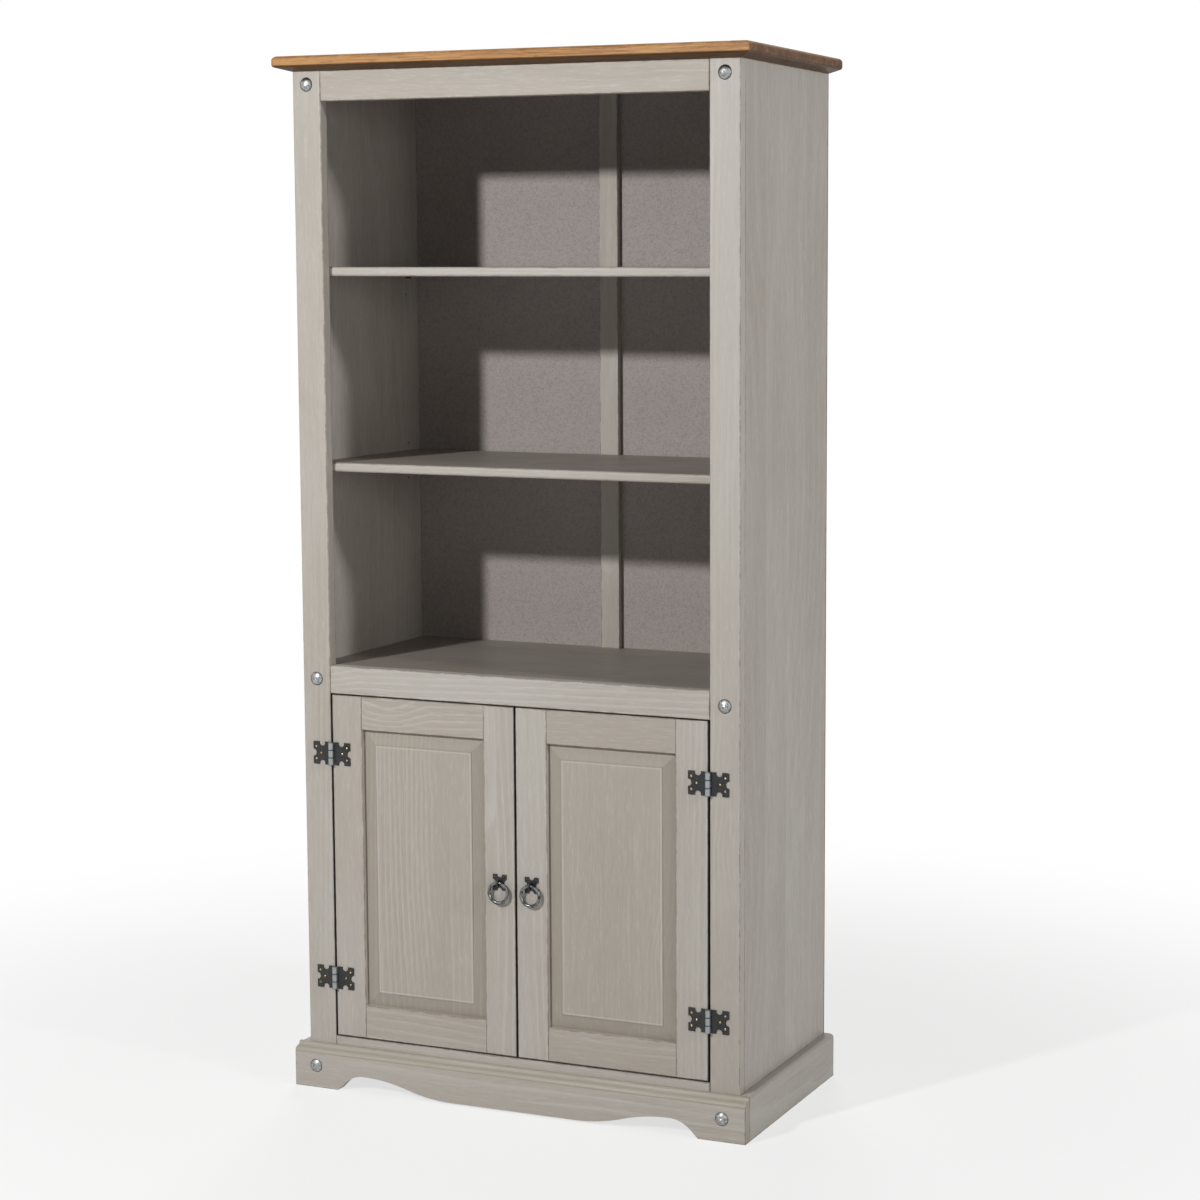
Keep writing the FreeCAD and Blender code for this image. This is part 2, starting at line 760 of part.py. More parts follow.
def hinge_leaf(name, side, height, knuckles):
    """One leaf; knuckles lists the low end and the length of each of its knuckles, from its middle."""
    plate_x = leaf_x(side, KNUCKLE_CUT) if side > 0 else leaf_x(side, "leaf_width")
    solids = [box(f"{name}_plate", (f"leaf_width - {KNUCKLE_CUT}", "leaf_thickness", "leaf_height"),
                  (plate_x, f"{FRONT} - leaf_thickness", f"{height} - leaf_height / 2"))]
    tab_x = HINGE_X if side > 0 else leaf_x(side, KNUCKLE_CUT)
    for number, (low, length) in enumerate(knuckles):
        bottom = f"{height} + {low}"
        solids.append(box(f"{name}_tab_{number}", (KNUCKLE_CUT, "leaf_thickness", length),
                          (tab_x, f"{FRONT} - leaf_thickness", bottom)))
        solids.append(cylinder(f"{name}_knuckle_{number}", "knuckle_radius", length,
                               (HINGE_X, HINGE_Y, bottom), UPRIGHT))
    return cut(f"{name}_cut", joined(f"{name}_whole", solids), leaf_waste(name, side, height))


def nail(name, x, z, head_radius, head_height, below):
    """Round-headed nail; below is the plate's thickness under its head."""
    seat = f"{FRONT} - {below}"
    head = dome(f"{name}_head", head_radius, head_height, (x, seat, z))
    shank = cylinder(f"{name}_shank", "nail_radius", "nail_length", (x, seat, z), TO_BACK)
    return joined(name, [head, shank])


def hinges():
    outer = [("-leaf_height / 2", f"({KNUCKLE} - knuckle_gap / 2)"),
             (f"leaf_height / 2 - {KNUCKLE} + knuckle_gap / 2", f"({KNUCKLE} - knuckle_gap / 2)")]
    inner = [(f"knuckle_gap / 2 - {KNUCKLE} / 2", f"({KNUCKLE} - knuckle_gap)")]
    pins = []
    frame_nails = []
    door_nails = []
    for level_name, height in HINGE_HEIGHTS.items():
        keep_pair(hinge_leaf(f"{level_name}_frame_leaf", -1, height, outer), f"left_{level_name}_frame_leaf")
        keep_pair(hinge_leaf(f"{level_name}_door_leaf", 1, height, inner), f"left_door_{level_name}_leaf")
        low_end = f"{height} - leaf_height / 2 - hinge_pin_end"
        pins.append(cylinder(f"{level_name}_hinge_pin", "hinge_pin_radius", "leaf_height + 2 * hinge_pin_end",
                             (HINGE_X, HINGE_Y, low_end), UPRIGHT))
        for spot, (distance, rise) in NAIL_SPOTS.items():
            z = f"{height} + {rise}"
            for owner, side, nails in (("frame", -1, frame_nails), ("door", 1, door_nails)):
                name = f"{level_name}_{owner}_nail_{spot}"
                nails.append(nail(name, leaf_x(side, distance), z, "nail_head_radius", "nail_head_height",
                                  "leaf_thickness"))
    keep(group("hinge_pins_all", pins + [mirrored(f"{pin.Name}_right", pin) for pin in pins]), "hinge_pins")
    right_nails = [mirrored(f"{item.Name}_right", item) for item in frame_nails]
    keep(group("frame_leaf_nails_all", frame_nails + right_nails), "frame_leaf_nails")
    keep_pair(group("left_door_nails_all", door_nails), "left_door_leaf_nails")


# Ring pulls: a four-leaf plate with an eye, its nails and a loose ring


PLATE_SIDES = {"right": (1, 0), "top": (0, 1), "left": (-1, 0), "bottom": (0, -1)}
PLATE_CORNERS = {"low_left": (-1, -1), "low_right": (1, -1), "high_left": (-1, 1), "high_right": (1, 1)}


def plate_nail_spot(across, up):
    """X and Z of a nail in one leaf of the plate."""
    return f"{PULL_X} + {across} * plate_nail_spread", f"{DOOR_MIDDLE} + {up} * plate_nail_spread"


def pull_plate():
    corner_x = f"{PULL_X} - plate_width / 2"
    corner_z = f"{DOOR_MIDDLE} - plate_height / 2"
    plate = box("pull_plate_blank", ("plate_width", "plate_thickness", "plate_height"),
                (corner_x, f"{FRONT} - plate_thickness", corner_z))
    waste = []
    for spot, (across, up) in PLATE_SIDES.items():
        x = f"{PULL_X} + {across} * plate_width / 2"
        z = f"{DOOR_MIDDLE} + {up} * plate_height / 2"
        waste.append(cylinder(f"plate_bite_{spot}", "plate_bite_radius", "plate_thickness",
                              (x, FRONT, z), TO_FRONT))
    for spot, (across, up) in PLATE_CORNERS.items():
        x, z = plate_nail_spot(across, up)
        waste.append(cylinder(f"plate_hole_{spot}", "nail_radius + nail_clearance", "plate_thickness",
                              (x, FRONT, z), TO_FRONT))
    eye = doc.addObject("Part::Torus", "pull_eye")
    bind(eye, Radius1=EYE_RADIUS, Radius2="eye_wire_radius")
    put(eye, (PULL_X, EYE_Y, DOOR_MIDDLE), ALONG_X)
    keep_pair(joined("left_plate_and_eye", [cut("plate_bitten", plate, waste), eye]), "left_pull_plate")


def pull_nails():
    nails = []
    for spot, (across, up) in PLATE_CORNERS.items():
        x, z = plate_nail_spot(across, up)
        nails.append(nail(f"pull_nail_{spot}", x, z, "plate_nail_head_radius", "plate_nail_head_height",
                          "plate_thickness"))
    keep_pair(group("left_pull_nails_all", nails), "left_pull_nails")


def pull_ring():
    ring = doc.addObject("Part::Torus", "left_ring_wire")
    bind(ring, Radius1="ring_radius", Radius2="ring_wire_radius")
    put(ring, (PULL_X, EYE_Y, f"{DOOR_MIDDLE} - ring_radius"), TO_FRONT)
    keep_pair(ring, "left_ring")


# Magnetic catches behind the middle rail, and their strike plates on the doors


def catches():
    door_back = f"({FRONT} + door_thickness)"
    strike_x = "-catch_offset - catch_width / 2 - strike_width / 2"
    strike_z = f"{DOOR_TOP} - strike_height - strike_inset"
    strike = box("left_strike", ("strike_width", "strike_thickness", "strike_height"),
                 (strike_x, door_back, strike_z))
    keep_pair(strike, "left_strike_plate")
    corner_x = "-catch_offset - catch_width"
    magnet_y = f"({door_back} + strike_thickness + catch_gap)"
    mount_depth = f"{magnet_y} + catch_depth - {BEHIND_STILES}"
    drop = "(strike_height + strike_inset + door_gap)"
    mount = box("catch_mount", ("catch_width", mount_depth, "catch_mount_height"),
                (corner_x, BEHIND_STILES, DOOR_HEAD))
    magnet = box("catch_magnet", ("catch_width", "catch_depth", drop),
                 (corner_x, magnet_y, f"{DOOR_HEAD} - {drop}"))
    left = joined("left_catch", [mount, magnet])
    keep(group("catches_both", [left, mirrored("right_catch", left)]), "door_catches")


# Domed studs on the stiles and on the skirt


def face_studs():
    stile_x = "(stile_width / 2 - carcase_width / 2)"
    skirt_x = "(stud_end - carcase_width / 2 - side_skirt_thickness)"
    spots = {
        "top_stud": (stile_x, FRONT, "carcase_height - stud_drop"),
        "middle_stud": (stile_x, FRONT, "deck_height - middle_rail_height / 2"),
        "skirt_stud": (skirt_x, f"({FRONT} - skirt_thickness)", "stud_rise"),
    }
    studs = []
    for name, place in spots.items():
        head = dome(f"{name}_head", "stud_radius", "stud_height", place)
        shank = cylinder(f"{name}_shank", "stud_shank_radius", "stud_shank_length", place, TO_BACK)
        stud = joined(name, [head, shank])
        studs.append(stud)
        studs.append(mirrored(f"{name}_right", stud))
    keep(group("studs_all", studs), "face_studs")


def build():
    """Make every piece of the cabinet."""
    top_board()
    side_panels()
    front_stiles()
    face_rail("top_rail", "top_rail_height", "carcase_height - top_rail_height")
    face_rail("middle_rail", "middle_rail_height", DOOR_HEAD)
    face_rail("bottom_rail", "bottom_rail_height", "base_height - bottom_rail_height")
    deck("middle_deck", DECK_UNDERSIDE)
    deck("base_deck", BASE_UNDERSIDE)
    for shelf, height in PIN_HEIGHTS.items():
        loose_shelf(shelf, height)
        shelf_pins(shelf, height)
    back_sheets()
    back_strip("upper_back_strip", "deck_height", "carcase_height")
    back_strip("lower_back_strip", "base_height", DECK_UNDERSIDE)
    front_skirt()
    side_skirts()
    rear_base_rail()
    cleats("top_cleats", "carcase_height")
    cleats("deck_cleats", DECK_UNDERSIDE)
    cleats("base_cleats", BASE_UNDERSIDE)
    door_stile("left_door_hinge_stile", DOOR_HINGE_EDGE, f"{PANEL_LEFT} - groove_depth")
    door_stile("left_door_meeting_stile", PANEL_RIGHT, PANEL_RIGHT)
    door_rail("left_door_top_rail", PANEL_TOP, PANEL_TOP)
    door_rail("left_door_bottom_rail", DOOR_BOTTOM, f"{PANEL_BOTTOM} - groove_depth")
    door_panel()
    hinges()
    pull_plate()
    pull_nails()
    pull_ring()
    catches()
    face_studs()
    doc.recompute()


def check():
    """Stop before writing if any object failed or any piece is not sound."""
    for item in doc.Objects:
        if "Invalid" in item.State or "Error" in item.State:
            raise RuntimeError(f"{item.Label} failed: {item.State}")
    for piece in pieces:
        if piece.Shape.isNull() or not piece.Shape.isValid() or not piece.Shape.Solids:
            raise RuntimeError(f"{piece.Label} has no sound solid")


def write():
    """Write each piece to a file of its own."""
    os.makedirs("parts", exist_ok=True)
    for piece in pieces:
        piece.Shape.exportStep(f"parts/{piece.Label}.step")
        print(piece.Label, len(piece.Shape.Solids), round(piece.Shape.Volume, 1))


build()
check()
write()
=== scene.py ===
"""Looks of a tall grey-washed pine bookcase over a two-door cupboard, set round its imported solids.

Every length is in metres, in the same frame as the solids: X runs to the right, Y to the back, Z up.
"""

import math

import bpy
import numpy as np
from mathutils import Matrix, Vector


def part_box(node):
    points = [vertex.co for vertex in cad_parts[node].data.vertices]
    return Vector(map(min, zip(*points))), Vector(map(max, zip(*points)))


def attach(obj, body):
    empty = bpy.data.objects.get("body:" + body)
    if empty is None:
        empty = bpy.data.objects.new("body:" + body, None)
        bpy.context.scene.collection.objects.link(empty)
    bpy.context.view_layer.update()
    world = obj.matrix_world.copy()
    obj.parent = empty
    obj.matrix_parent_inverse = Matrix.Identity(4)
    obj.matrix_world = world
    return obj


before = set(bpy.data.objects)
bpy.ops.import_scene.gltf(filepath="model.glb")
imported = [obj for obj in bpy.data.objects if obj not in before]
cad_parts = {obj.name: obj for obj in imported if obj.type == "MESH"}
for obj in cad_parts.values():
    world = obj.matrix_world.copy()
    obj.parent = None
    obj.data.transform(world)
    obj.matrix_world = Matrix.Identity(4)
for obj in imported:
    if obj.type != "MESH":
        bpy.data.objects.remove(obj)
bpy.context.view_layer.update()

# Places on the cabinet that the finishes and the small pieces need

FRONT_FACE = -0.1855
SKIRT_FACE = -0.2055
BACK_FACE = 0.2105
SKIRT_TOP = 0.076
MOULDING_HEIGHT = 0.014
STUD_HEIGHT = 0.005
SKIRT_STUDS_BELOW = 0.30
STILE_STUDS_ABOVE = 0.31
HINGE_AXIS_X = 0.35475
HINGE_AXIS_Y = -0.1900
KNUCKLE_PARTS = 3

# Distances from a hinge's axis where the knuckle's wear and painted highlight end and where they are full

KNUCKLE_RIM = 0.0051
KNUCKLE_CORE = 0.0047

# The gaps round the doors: each hinge stands in the gap beside its door

DOOR_GAP_X = HINGE_AXIS_X
DOOR_GAP_MIDDLE = 0.3955
DOOR_GAP_Z = 0.30325


# Small tools for node trees


# Most values of a noise lie between these two
NOISE_LOW = 0.3
NOISE_HIGH = 0.7


def paint(red, green, blue):
    """Linear colour of a paint that is named by its screen values, 0 to 255."""
    screen = np.array([red, green, blue]) / 255.0
    linear = np.where(screen <= 0.04045, screen / 12.92, ((screen + 0.055) / 1.055) ** 2.4)
    return (*linear.tolist(), 1.0)


def add(tree, kind, inputs=None, **settings):
    """A new node with its settings, and its inputs set to values or tied to other nodes' outputs."""
    made = tree.nodes.new(kind)
    for name, value in settings.items():
        setattr(made, name, value)
    for name, value in (inputs or {}).items():
        if isinstance(value, bpy.types.NodeSocket):
            tree.links.new(value, made.inputs[name])
        else:
            made.inputs[name].default_value = value
    return made


def calc(tree, operation, first, second=0.0):
    """A sum, product or other calculation on two values."""
    return add(tree, "ShaderNodeMath", {0: first, 1: second}, operation=operation).outputs[0]


def scaled(tree, value, rate):
    """A value times a rate."""
    return calc(tree, "MULTIPLY", value, rate)


def vector_calc(tree, operation, first, second=(0.0, 0.0, 0.0)):
    """A calculation on two vectors."""
    return add(tree, "ShaderNodeVectorMath", {0: first, 1: second}, operation=operation).outputs[0]


def split(tree, vector):
    """The X, Y and Z of a vector."""
    return add(tree, "ShaderNodeSeparateXYZ", {0: vector}).outputs


def fade(tree, value, start, end, low=0.0, high=1.0):
    """A smooth step: low where value is at start, high where it is at end."""
    inputs = {"Value": value, "From Min": start, "From Max": end, "To Min": low, "To Max": high}
    step = add(tree, "ShaderNodeMapRange", inputs, interpolation_type="SMOOTHSTEP")
    return step.outputs["Result"]


def blend(tree, share, first, second):
    """First colour, with a share of the second one laid over it."""
    return add(tree, "ShaderNodeMix", {0: share, 6: first, 7: second}, data_type="RGBA").outputs[2]


def cover(tree, mask, most, first, second):
    """First colour, with the second one laid over it by up to a share, as far as the mask tells."""
    return blend(tree, scaled(tree, mask, most), first, second)


def stretched(tree, vector, sideways, along):
    """The vector with X and Y multiplied by one rate and Z by another."""
    return vector_calc(tree, "MULTIPLY", vector, (sideways, sideways, along))


def noise(tree, vector, scale=1.0, detail=2.0, roughness=0.5):
    """Cloudy values round one half."""
    inputs = {"Vector": vector, "Scale": scale, "Detail": detail, "Roughness": roughness}
    return add(tree, "ShaderNodeTexNoise", inputs)


def new_group(name, inputs, outputs):
    """An empty shader group with named inputs and outputs, its entry node and its exit node."""
    group = bpy.data.node_groups.new(name, "ShaderNodeTree")
    for label, kind in inputs.items():
        group.interface.new_socket(label, in_out="INPUT", socket_type="NodeSocket" + kind)
    for label, kind in outputs.items():
        group.interface.new_socket(label, in_out="OUTPUT", socket_type="NodeSocket" + kind)
    return group, group.nodes.new("NodeGroupInput"), group.nodes.new("NodeGroupOutput")


def use_group(tree, group, inputs):
    """One use of a shader group, with its own values."""
    return add(tree, "ShaderNodeGroup", inputs, node_tree=group).outputs


def new_material(name):
    """An empty material, its node tree and its surface shader."""
    material = bpy.data.materials.new(name)
    material.use_nodes = True
    tree = material.node_tree
    return material, tree, tree.nodes["Principled BSDF"]


def object_place(tree):
    """The place on the piece, in the frame of the piece."""
    return tree.nodes.new("ShaderNodeTexCoord").outputs["Object"]


def object_normal(tree):
    """The way the surface faces, in the frame of the piece."""
    return tree.nodes.new("ShaderNodeTexCoord").outputs["Normal"]


def roughen(tree, shader, pattern, low, high, smudge=None, smear=0.0):
    """Roughness from low to high with a noise, and a little more where the surface is smudged."""
    rough = fade(tree, pattern, NOISE_LOW, NOISE_HIGH, low, high)
    if smudge is not None:
        rough = calc(tree, "ADD", rough, scaled(tree, smudge, smear))
    tree.links.new(rough, shader.inputs["Roughness"])


def bump(tree, shader, height, strength, depth):
    """Let a height between 0 and 1 raise the surface by up to a depth."""
    made = add(tree, "ShaderNodeBump", {"Height": height, "Strength": strength, "Distance": depth})
    tree.links.new(made.outputs["Normal"], shader.inputs["Normal"])


# Effects that several finishes share


# Scale 1 of a wave has this period
WAVE_PERIOD = 2 * math.pi / 20

RING_SPACING = 0.0105
RING_RISE = (0.45, 0.93)
RING_DROP = (1.0, 0.94)

# Knots: cells for a metre across the grain and along it, and distances within a cell
KNOT_CELLS = (5.6, 3.4)
KNOT_RIM = 0.036
KNOT_HEART = 0.018
SWELL_RIM = 0.30
SWELL_HEART = 0.03
SWELL_REACH = 0.016

# How the rings wander: rates of the noise across the grain and along it, its detail, and the reach
MIDDLE_COLOUR = (0.5, 0.5, 0.5)
WANDERS = (
    (2.6, 0.85, 1.0, 0.15),
    (16.0, 1.3, 2.0, 0.008),
)

# Noises of the wood: rates across the grain and along it, detail and roughness
WOOD_NOISES = {
    "Fibre": (480.0, 9.0, 3.0, 0.6),
    "Pores": (430.0, 42.0, 2.0, 0.65),
    "Streak": (130.0, 7.0, 2.0, 0.6),
    "Cloud": (7.0, 1.6, 3.0, 0.5),
}

# Patches where the rings show: rates across the grain and along it, and where a patch starts and is full
PATCH_RATES = (9.0, 1.1)
PATCH_FADE = (0.42, 0.62)
FAINTEST_RING = 0.05


def make_pine_figure():
    """Growth rings, fibres, knots and clouds of a pine board whose grain runs along Z.

    The rings are circles round Z whose centre wanders slowly, and they swing out round each knot.
    A ring brightens slowly across its width and ends in a crisp line.
    """
    outputs = ("Growth", "Fibre", "Pores", "Streak", "Knot", "Cloud")
    group, entry, leave = new_group("pine_figure", {"Vector": "Vector"}, {name: "Float" for name in outputs})
    place = entry.outputs["Vector"]

    cells = {"Vector": stretched(group, place, *KNOT_CELLS), "Scale": 1.0}
    knot_distance = add(group, "ShaderNodeTexVoronoi", cells).outputs["Distance"]
    knot = fade(group, knot_distance, KNOT_RIM, KNOT_HEART)
    swell = fade(group, knot_distance, SWELL_RIM, SWELL_HEART)

    wandered = place
    for sideways, along, detail, reach in WANDERS:
        drift = noise(group, stretched(group, place, sideways, along), detail=detail).outputs["Color"]
        centred = vector_calc(group, "SUBTRACT", drift, MIDDLE_COLOUR)
        wandered = vector_calc(group, "ADD", wandered, stretched(group, centred, reach, 0.0))
    knot_shift = add(group, "ShaderNodeCombineXYZ", {"X": scaled(group, swell, SWELL_REACH)}).outputs[0]
    wandered = vector_calc(group, "ADD", wandered, knot_shift)

    rings = add(group, "ShaderNodeTexWave", {"Vector": wandered, "Scale": WAVE_PERIOD / RING_SPACING},
                wave_type="RINGS", rings_direction="Z", wave_profile="SAW").outputs["Fac"]
    line = calc(group, "MULTIPLY", fade(group, rings, *RING_RISE), fade(group, rings, *RING_DROP))
    patches = noise(group, stretched(group, place, *PATCH_RATES), detail=1.0).outputs["Fac"]
    growth = calc(group, "MULTIPLY", line, fade(group, patches, *PATCH_FADE, low=FAINTEST_RING))

    group.links.new(growth, leave.inputs["Growth"])
    group.links.new(knot, leave.inputs["Knot"])
    for name, (sideways, along, detail, roughness) in WOOD_NOISES.items():
        pattern = noise(group, stretched(group, place, sideways, along), detail=detail, roughness=roughness)
        group.links.new(pattern.outputs["Fac"], leave.inputs[name])
    return group


# How far a stave's random value moves the figure across, through and along
STAVE_MOVE = (0.09, 0.05, 7.0)


def make_glued_staves():
    """Boards glued edge to edge: each stave of a width across X reads another part of the wood.

    The stave's number is the place across divided by the width, rounded down; a random value that
    belongs to the number moves the figure, and is put out as the stave's own tone.
    """
    group, entry, leave = new_group("glued_staves", {"Vector": "Vector", "Width": "Float"},
                                    {"Vector": "Vector", "Tone": "Float"})
    place = entry.outputs["Vector"]
    across = split(group, place)["X"]
    number = calc(group, "FLOOR", calc(group, "DIVIDE", across, entry.outputs["Width"]))
    chance = add(group, "ShaderNodeTexWhiteNoise", {"W": number}, noise_dimensions="1D")
    move = vector_calc(group, "MULTIPLY", chance.outputs["Color"], STAVE_MOVE)
    group.links.new(vector_calc(group, "ADD", place, move), leave.inputs["Vector"])
    group.links.new(chance.outputs["Value"], leave.inputs["Tone"])
    return group


# The ragged reach of the wear, as shares of the reach asked for, and the share of it that is worn most
RAGGED_SCALE = 38.0
RAGGED_FADE = (0.3, 0.75)
LEAST_REACH = 0.15
MOST_REACH = 1.7
WORN_MOST = 0.2


def make_worn_edges():
    """How near a place is to an edge of its board: 1 on the edge, 0 beyond a ragged reach.

    On a face of the board one of the three distances to the board's box is nothing, so the middle
    one of the three is the distance to the nearest edge.
    """
    group, entry, leave = new_group(
        "worn_edges", {"Vector": "Vector", "Low": "Vector", "High": "Vector", "Reach": "Float"},
        {"Edge": "Float"})
    place = entry.outputs["Vector"]
    from_low = vector_calc(group, "SUBTRACT", place, entry.outputs["Low"])
    from_high = vector_calc(group, "SUBTRACT", entry.outputs["High"], place)
    nearest = vector_calc(group, "ABSOLUTE", vector_calc(group, "MINIMUM", from_low, from_high))
    sides = split(group, nearest)
    low_pair = calc(group, "MINIMUM", sides["X"], sides["Y"])
    high_pair = calc(group, "MAXIMUM", sides["X"], sides["Y"])
    distance = calc(group, "MAXIMUM", low_pair, calc(group, "MINIMUM", high_pair, sides["Z"]))
    ragged = noise(group, place, scale=RAGGED_SCALE, detail=3.0, roughness=0.7).outputs["Fac"]
    rate = fade(group, ragged, *RAGGED_FADE, LEAST_REACH, MOST_REACH)
    reach = calc(group, "MULTIPLY", entry.outputs["Reach"], rate)
    edge = fade(group, calc(group, "DIVIDE", distance, reach), 1.0, WORN_MOST)
    group.links.new(edge, leave.inputs["Edge"])
    return group


SMUDGE_SCALE = 11.0
SPECK_SCALE = 620.0
SPECK_FADE = (0.70, 0.80)


def make_handling():
    """Faint smudges and specks left by use: broad soft patches, and a few small specks."""
    group, entry, leave = new_group("handling", {"Vector": "Vector"}, {"Smudge": "Float", "Speck": "Float"})
    place = entry.outputs["Vector"]
    smudge = noise(group, place, scale=SMUDGE_SCALE, detail=4.0, roughness=0.6).outputs["Fac"]
    specks = noise(group, place, scale=SPECK_SCALE, detail=1.0).outputs["Fac"]
    group.links.new(fade(group, smudge, NOISE_LOW, NOISE_HIGH), leave.inputs["Smudge"])
    group.links.new(fade(group, specks, *SPECK_FADE), leave.inputs["Speck"])
    return group


PINE_FIGURE = make_pine_figure()
GLUED_STAVES = make_glued_staves()
WORN_EDGES = make_worn_edges()
HANDLING = make_handling()


# How a board lies: which directions of the cabinet run across it, through it and along its grain

BOARD_LIES = {
    "upright_front": (0, 1, 2),
    "upright_side": (1, 0, 2),
    "level_front": (2, 1, 0),
    "level_flat": (1, 2, 0),
    "level_side": (2, 0, 1),
}
THROUGH = 1
ALONG = 2
FACING_START = 0.75
FACING_FULL = 0.95

# Where a board is cut from the trunk: beside its heart, out from it, and up the trunk. The turns and the
# step set how these change with the board's number.

BESIDE_HEART = 0.045
BESIDE_TURN = 2.4
OUT_FROM_HEART = 0.075
OUT_SPREAD = 0.02
OUT_TURN = 1.7
TRUNK_STEP = 0.83


def board_figure(tree, place, lie, number, stave_width):
    """The wood figure of one board: its number picks another part of the trunk."""
    parts = split(tree, place)
    across, through, along = [parts[direction] for direction in BOARD_LIES[lie]]
    grain = add(tree, "ShaderNodeCombineXYZ", {"X": across, "Y": through, "Z": along}).outputs[0]
    beside = BESIDE_HEART * math.sin(BESIDE_TURN * number)
    out = OUT_FROM_HEART + OUT_SPREAD * math.sin(OUT_TURN * number)
    moved = vector_calc(tree, "ADD", grain, (beside, out, TRUNK_STEP * number))
    staves = use_group(tree, GLUED_STAVES, {"Vector": moved, "Width": stave_width})
    return use_group(tree, PINE_FIGURE, {"Vector": staves["Vector"]}), staves["Tone"]


# The noises of the wood that a wash can fill
FINE_GRAIN = ("Fibre", "Pores")


def lay_noises(tree, colour, noises, layers, tones, fine_share=1.0):
    """The colour with layers of noise laid over it, one after the other.

    A layer is the noise, the values where it starts and where it is full, its full share and its tone.
    """
    for pattern, start, full, share, tone in layers:
        most = share * fine_share if pattern in FINE_GRAIN else share
        colour = blend(tree, fade(tree, noises[pattern], start, full, high=most), colour, tones[tone])
    return colour


def facing(tree, lie, direction):
    """1 on the faces of a board that look through it, or along its grain."""
    turned = split(tree, object_normal(tree))[BOARD_LIES[lie][direction]]
    return fade(tree, calc(tree, "ABSOLUTE", turned), FACING_START, FACING_FULL)


def board_edges(tree, place, board, reach):
    """The worn edges of one board, from the box of its solid."""
    low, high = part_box(board)
    return use_group(tree, WORN_EDGES, {"Vector": place, "Low": low, "High": high, "Reach": reach})["Edge"]


PANELS = ("left_door_panel", "right_door_panel")
BEVEL_REACH = 0.0335
BEVEL_BLUR = 0.0005
LINE_BEYOND_BEVEL = 0.0012
LINE_RIM = 0.0018
LINE_CORE = 0.0006
PANEL_FRONT_FADE = (-0.2, -0.5)


def bevel_shade_and_highlight(tree, place, panel):
    """Masks for painted shade on the sloping border of a door panel's front, and for a painted highlight on
    the narrow line where the raised field begins.

    The distance to the panel's outline is the nearest one sideways or up and down. It is within the
    bevel's reach on the border and close to that reach on the line.
    """
    low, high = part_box(panel)
    from_low = vector_calc(tree, "SUBTRACT", place, low)
    from_high = vector_calc(tree, "SUBTRACT", high, place)
    nearest = split(tree, vector_calc(tree, "MINIMUM", from_low, from_high))
    distance = calc(tree, "MINIMUM", nearest["X"], nearest["Z"])
    border = fade(tree, distance, BEVEL_REACH + BEVEL_BLUR, BEVEL_REACH - BEVEL_BLUR)
    beyond = calc(tree, "SUBTRACT", distance, BEVEL_REACH + LINE_BEYOND_BEVEL)
    line = fade(tree, calc(tree, "ABSOLUTE", beyond), LINE_RIM, LINE_CORE)
    front = fade(tree, split(tree, object_normal(tree))["Y"], *PANEL_FRONT_FADE)
    return calc(tree, "MULTIPLY", border, front), calc(tree, "MULTIPLY", line, front)


# Painted shade in the gaps round the doors: narrower on the level gaps, its reach from a gap and its depth
# behind the front
LEVEL_GAP_RATE = 2.0
GAP_SHADE_RIM = 0.0032
GAP_SHADE_CORE = 0.0016
GAP_SHADE_DEPTH = 0.010
BOARDS_AT_GAPS = (
    "front_stile", "middle_rail", "bottom_rail",
    "door_hinge_stile", "door_meeting_stile", "door_top_rail",
)


def gap_shade_mask(tree, place):
    """Painted shade in the narrow gaps round the doors and between them, near the front.

    The outline of the doors is a box in X and Z, so the distance to it is the larger of how far a place
    lies beyond the box sideways and up or down. The gap between the doors is at X = 0, within that box.
    The rate makes the painted shade of the level gaps narrower.
    """
    parts = split(tree, place)
    sideways = calc(tree, "ABSOLUTE", parts["X"])
    upward = calc(tree, "ABSOLUTE", calc(tree, "SUBTRACT", parts["Z"], DOOR_GAP_MIDDLE))
    beside = calc(tree, "SUBTRACT", sideways, DOOR_GAP_X)
    above = scaled(tree, calc(tree, "SUBTRACT", upward, DOOR_GAP_Z), LEVEL_GAP_RATE)
    outline = calc(tree, "ABSOLUTE", calc(tree, "MAXIMUM", beside, above))
    meeting = calc(tree, "MAXIMUM", sideways, above)
    shade_in_gap = fade(tree, calc(tree, "MINIMUM", outline, meeting), GAP_SHADE_RIM, GAP_SHADE_CORE)
    near_front = fade(tree, parts["Y"], FRONT_FACE + GAP_SHADE_DEPTH, FRONT_FACE + GAP_SHADE_DEPTH / 2)
    return calc(tree, "MULTIPLY", shade_in_gap, near_front)


MOULDING_BLUR = 0.001
MOULDING_TONE_SHARE = 0.4
CREASE_SHADE_SHARE = 0.75


def skirt_moulding(tree, place):
    """How much the skirt's moulded top takes the olive colour: some all over as its tone, and most as
    painted shade in the crease at its foot.
    """
    height = split(tree, place)["Z"]
    foot = SKIRT_TOP - MOULDING_HEIGHT
    from_foot = calc(tree, "ABSOLUTE", calc(tree, "SUBTRACT", height, foot))
    band = fade(tree, height, foot - MOULDING_BLUR, foot + MOULDING_BLUR, high=MOULDING_TONE_SHARE)
    crease_shade = fade(tree, from_foot, LINE_RIM, LINE_CORE, high=CREASE_SHADE_SHARE)
    return calc(tree, "MAXIMUM", band, crease_shade)


# Wood finishes


FIBRE_RELIEF = 0.6
GROWTH_RELIEF = 0.4

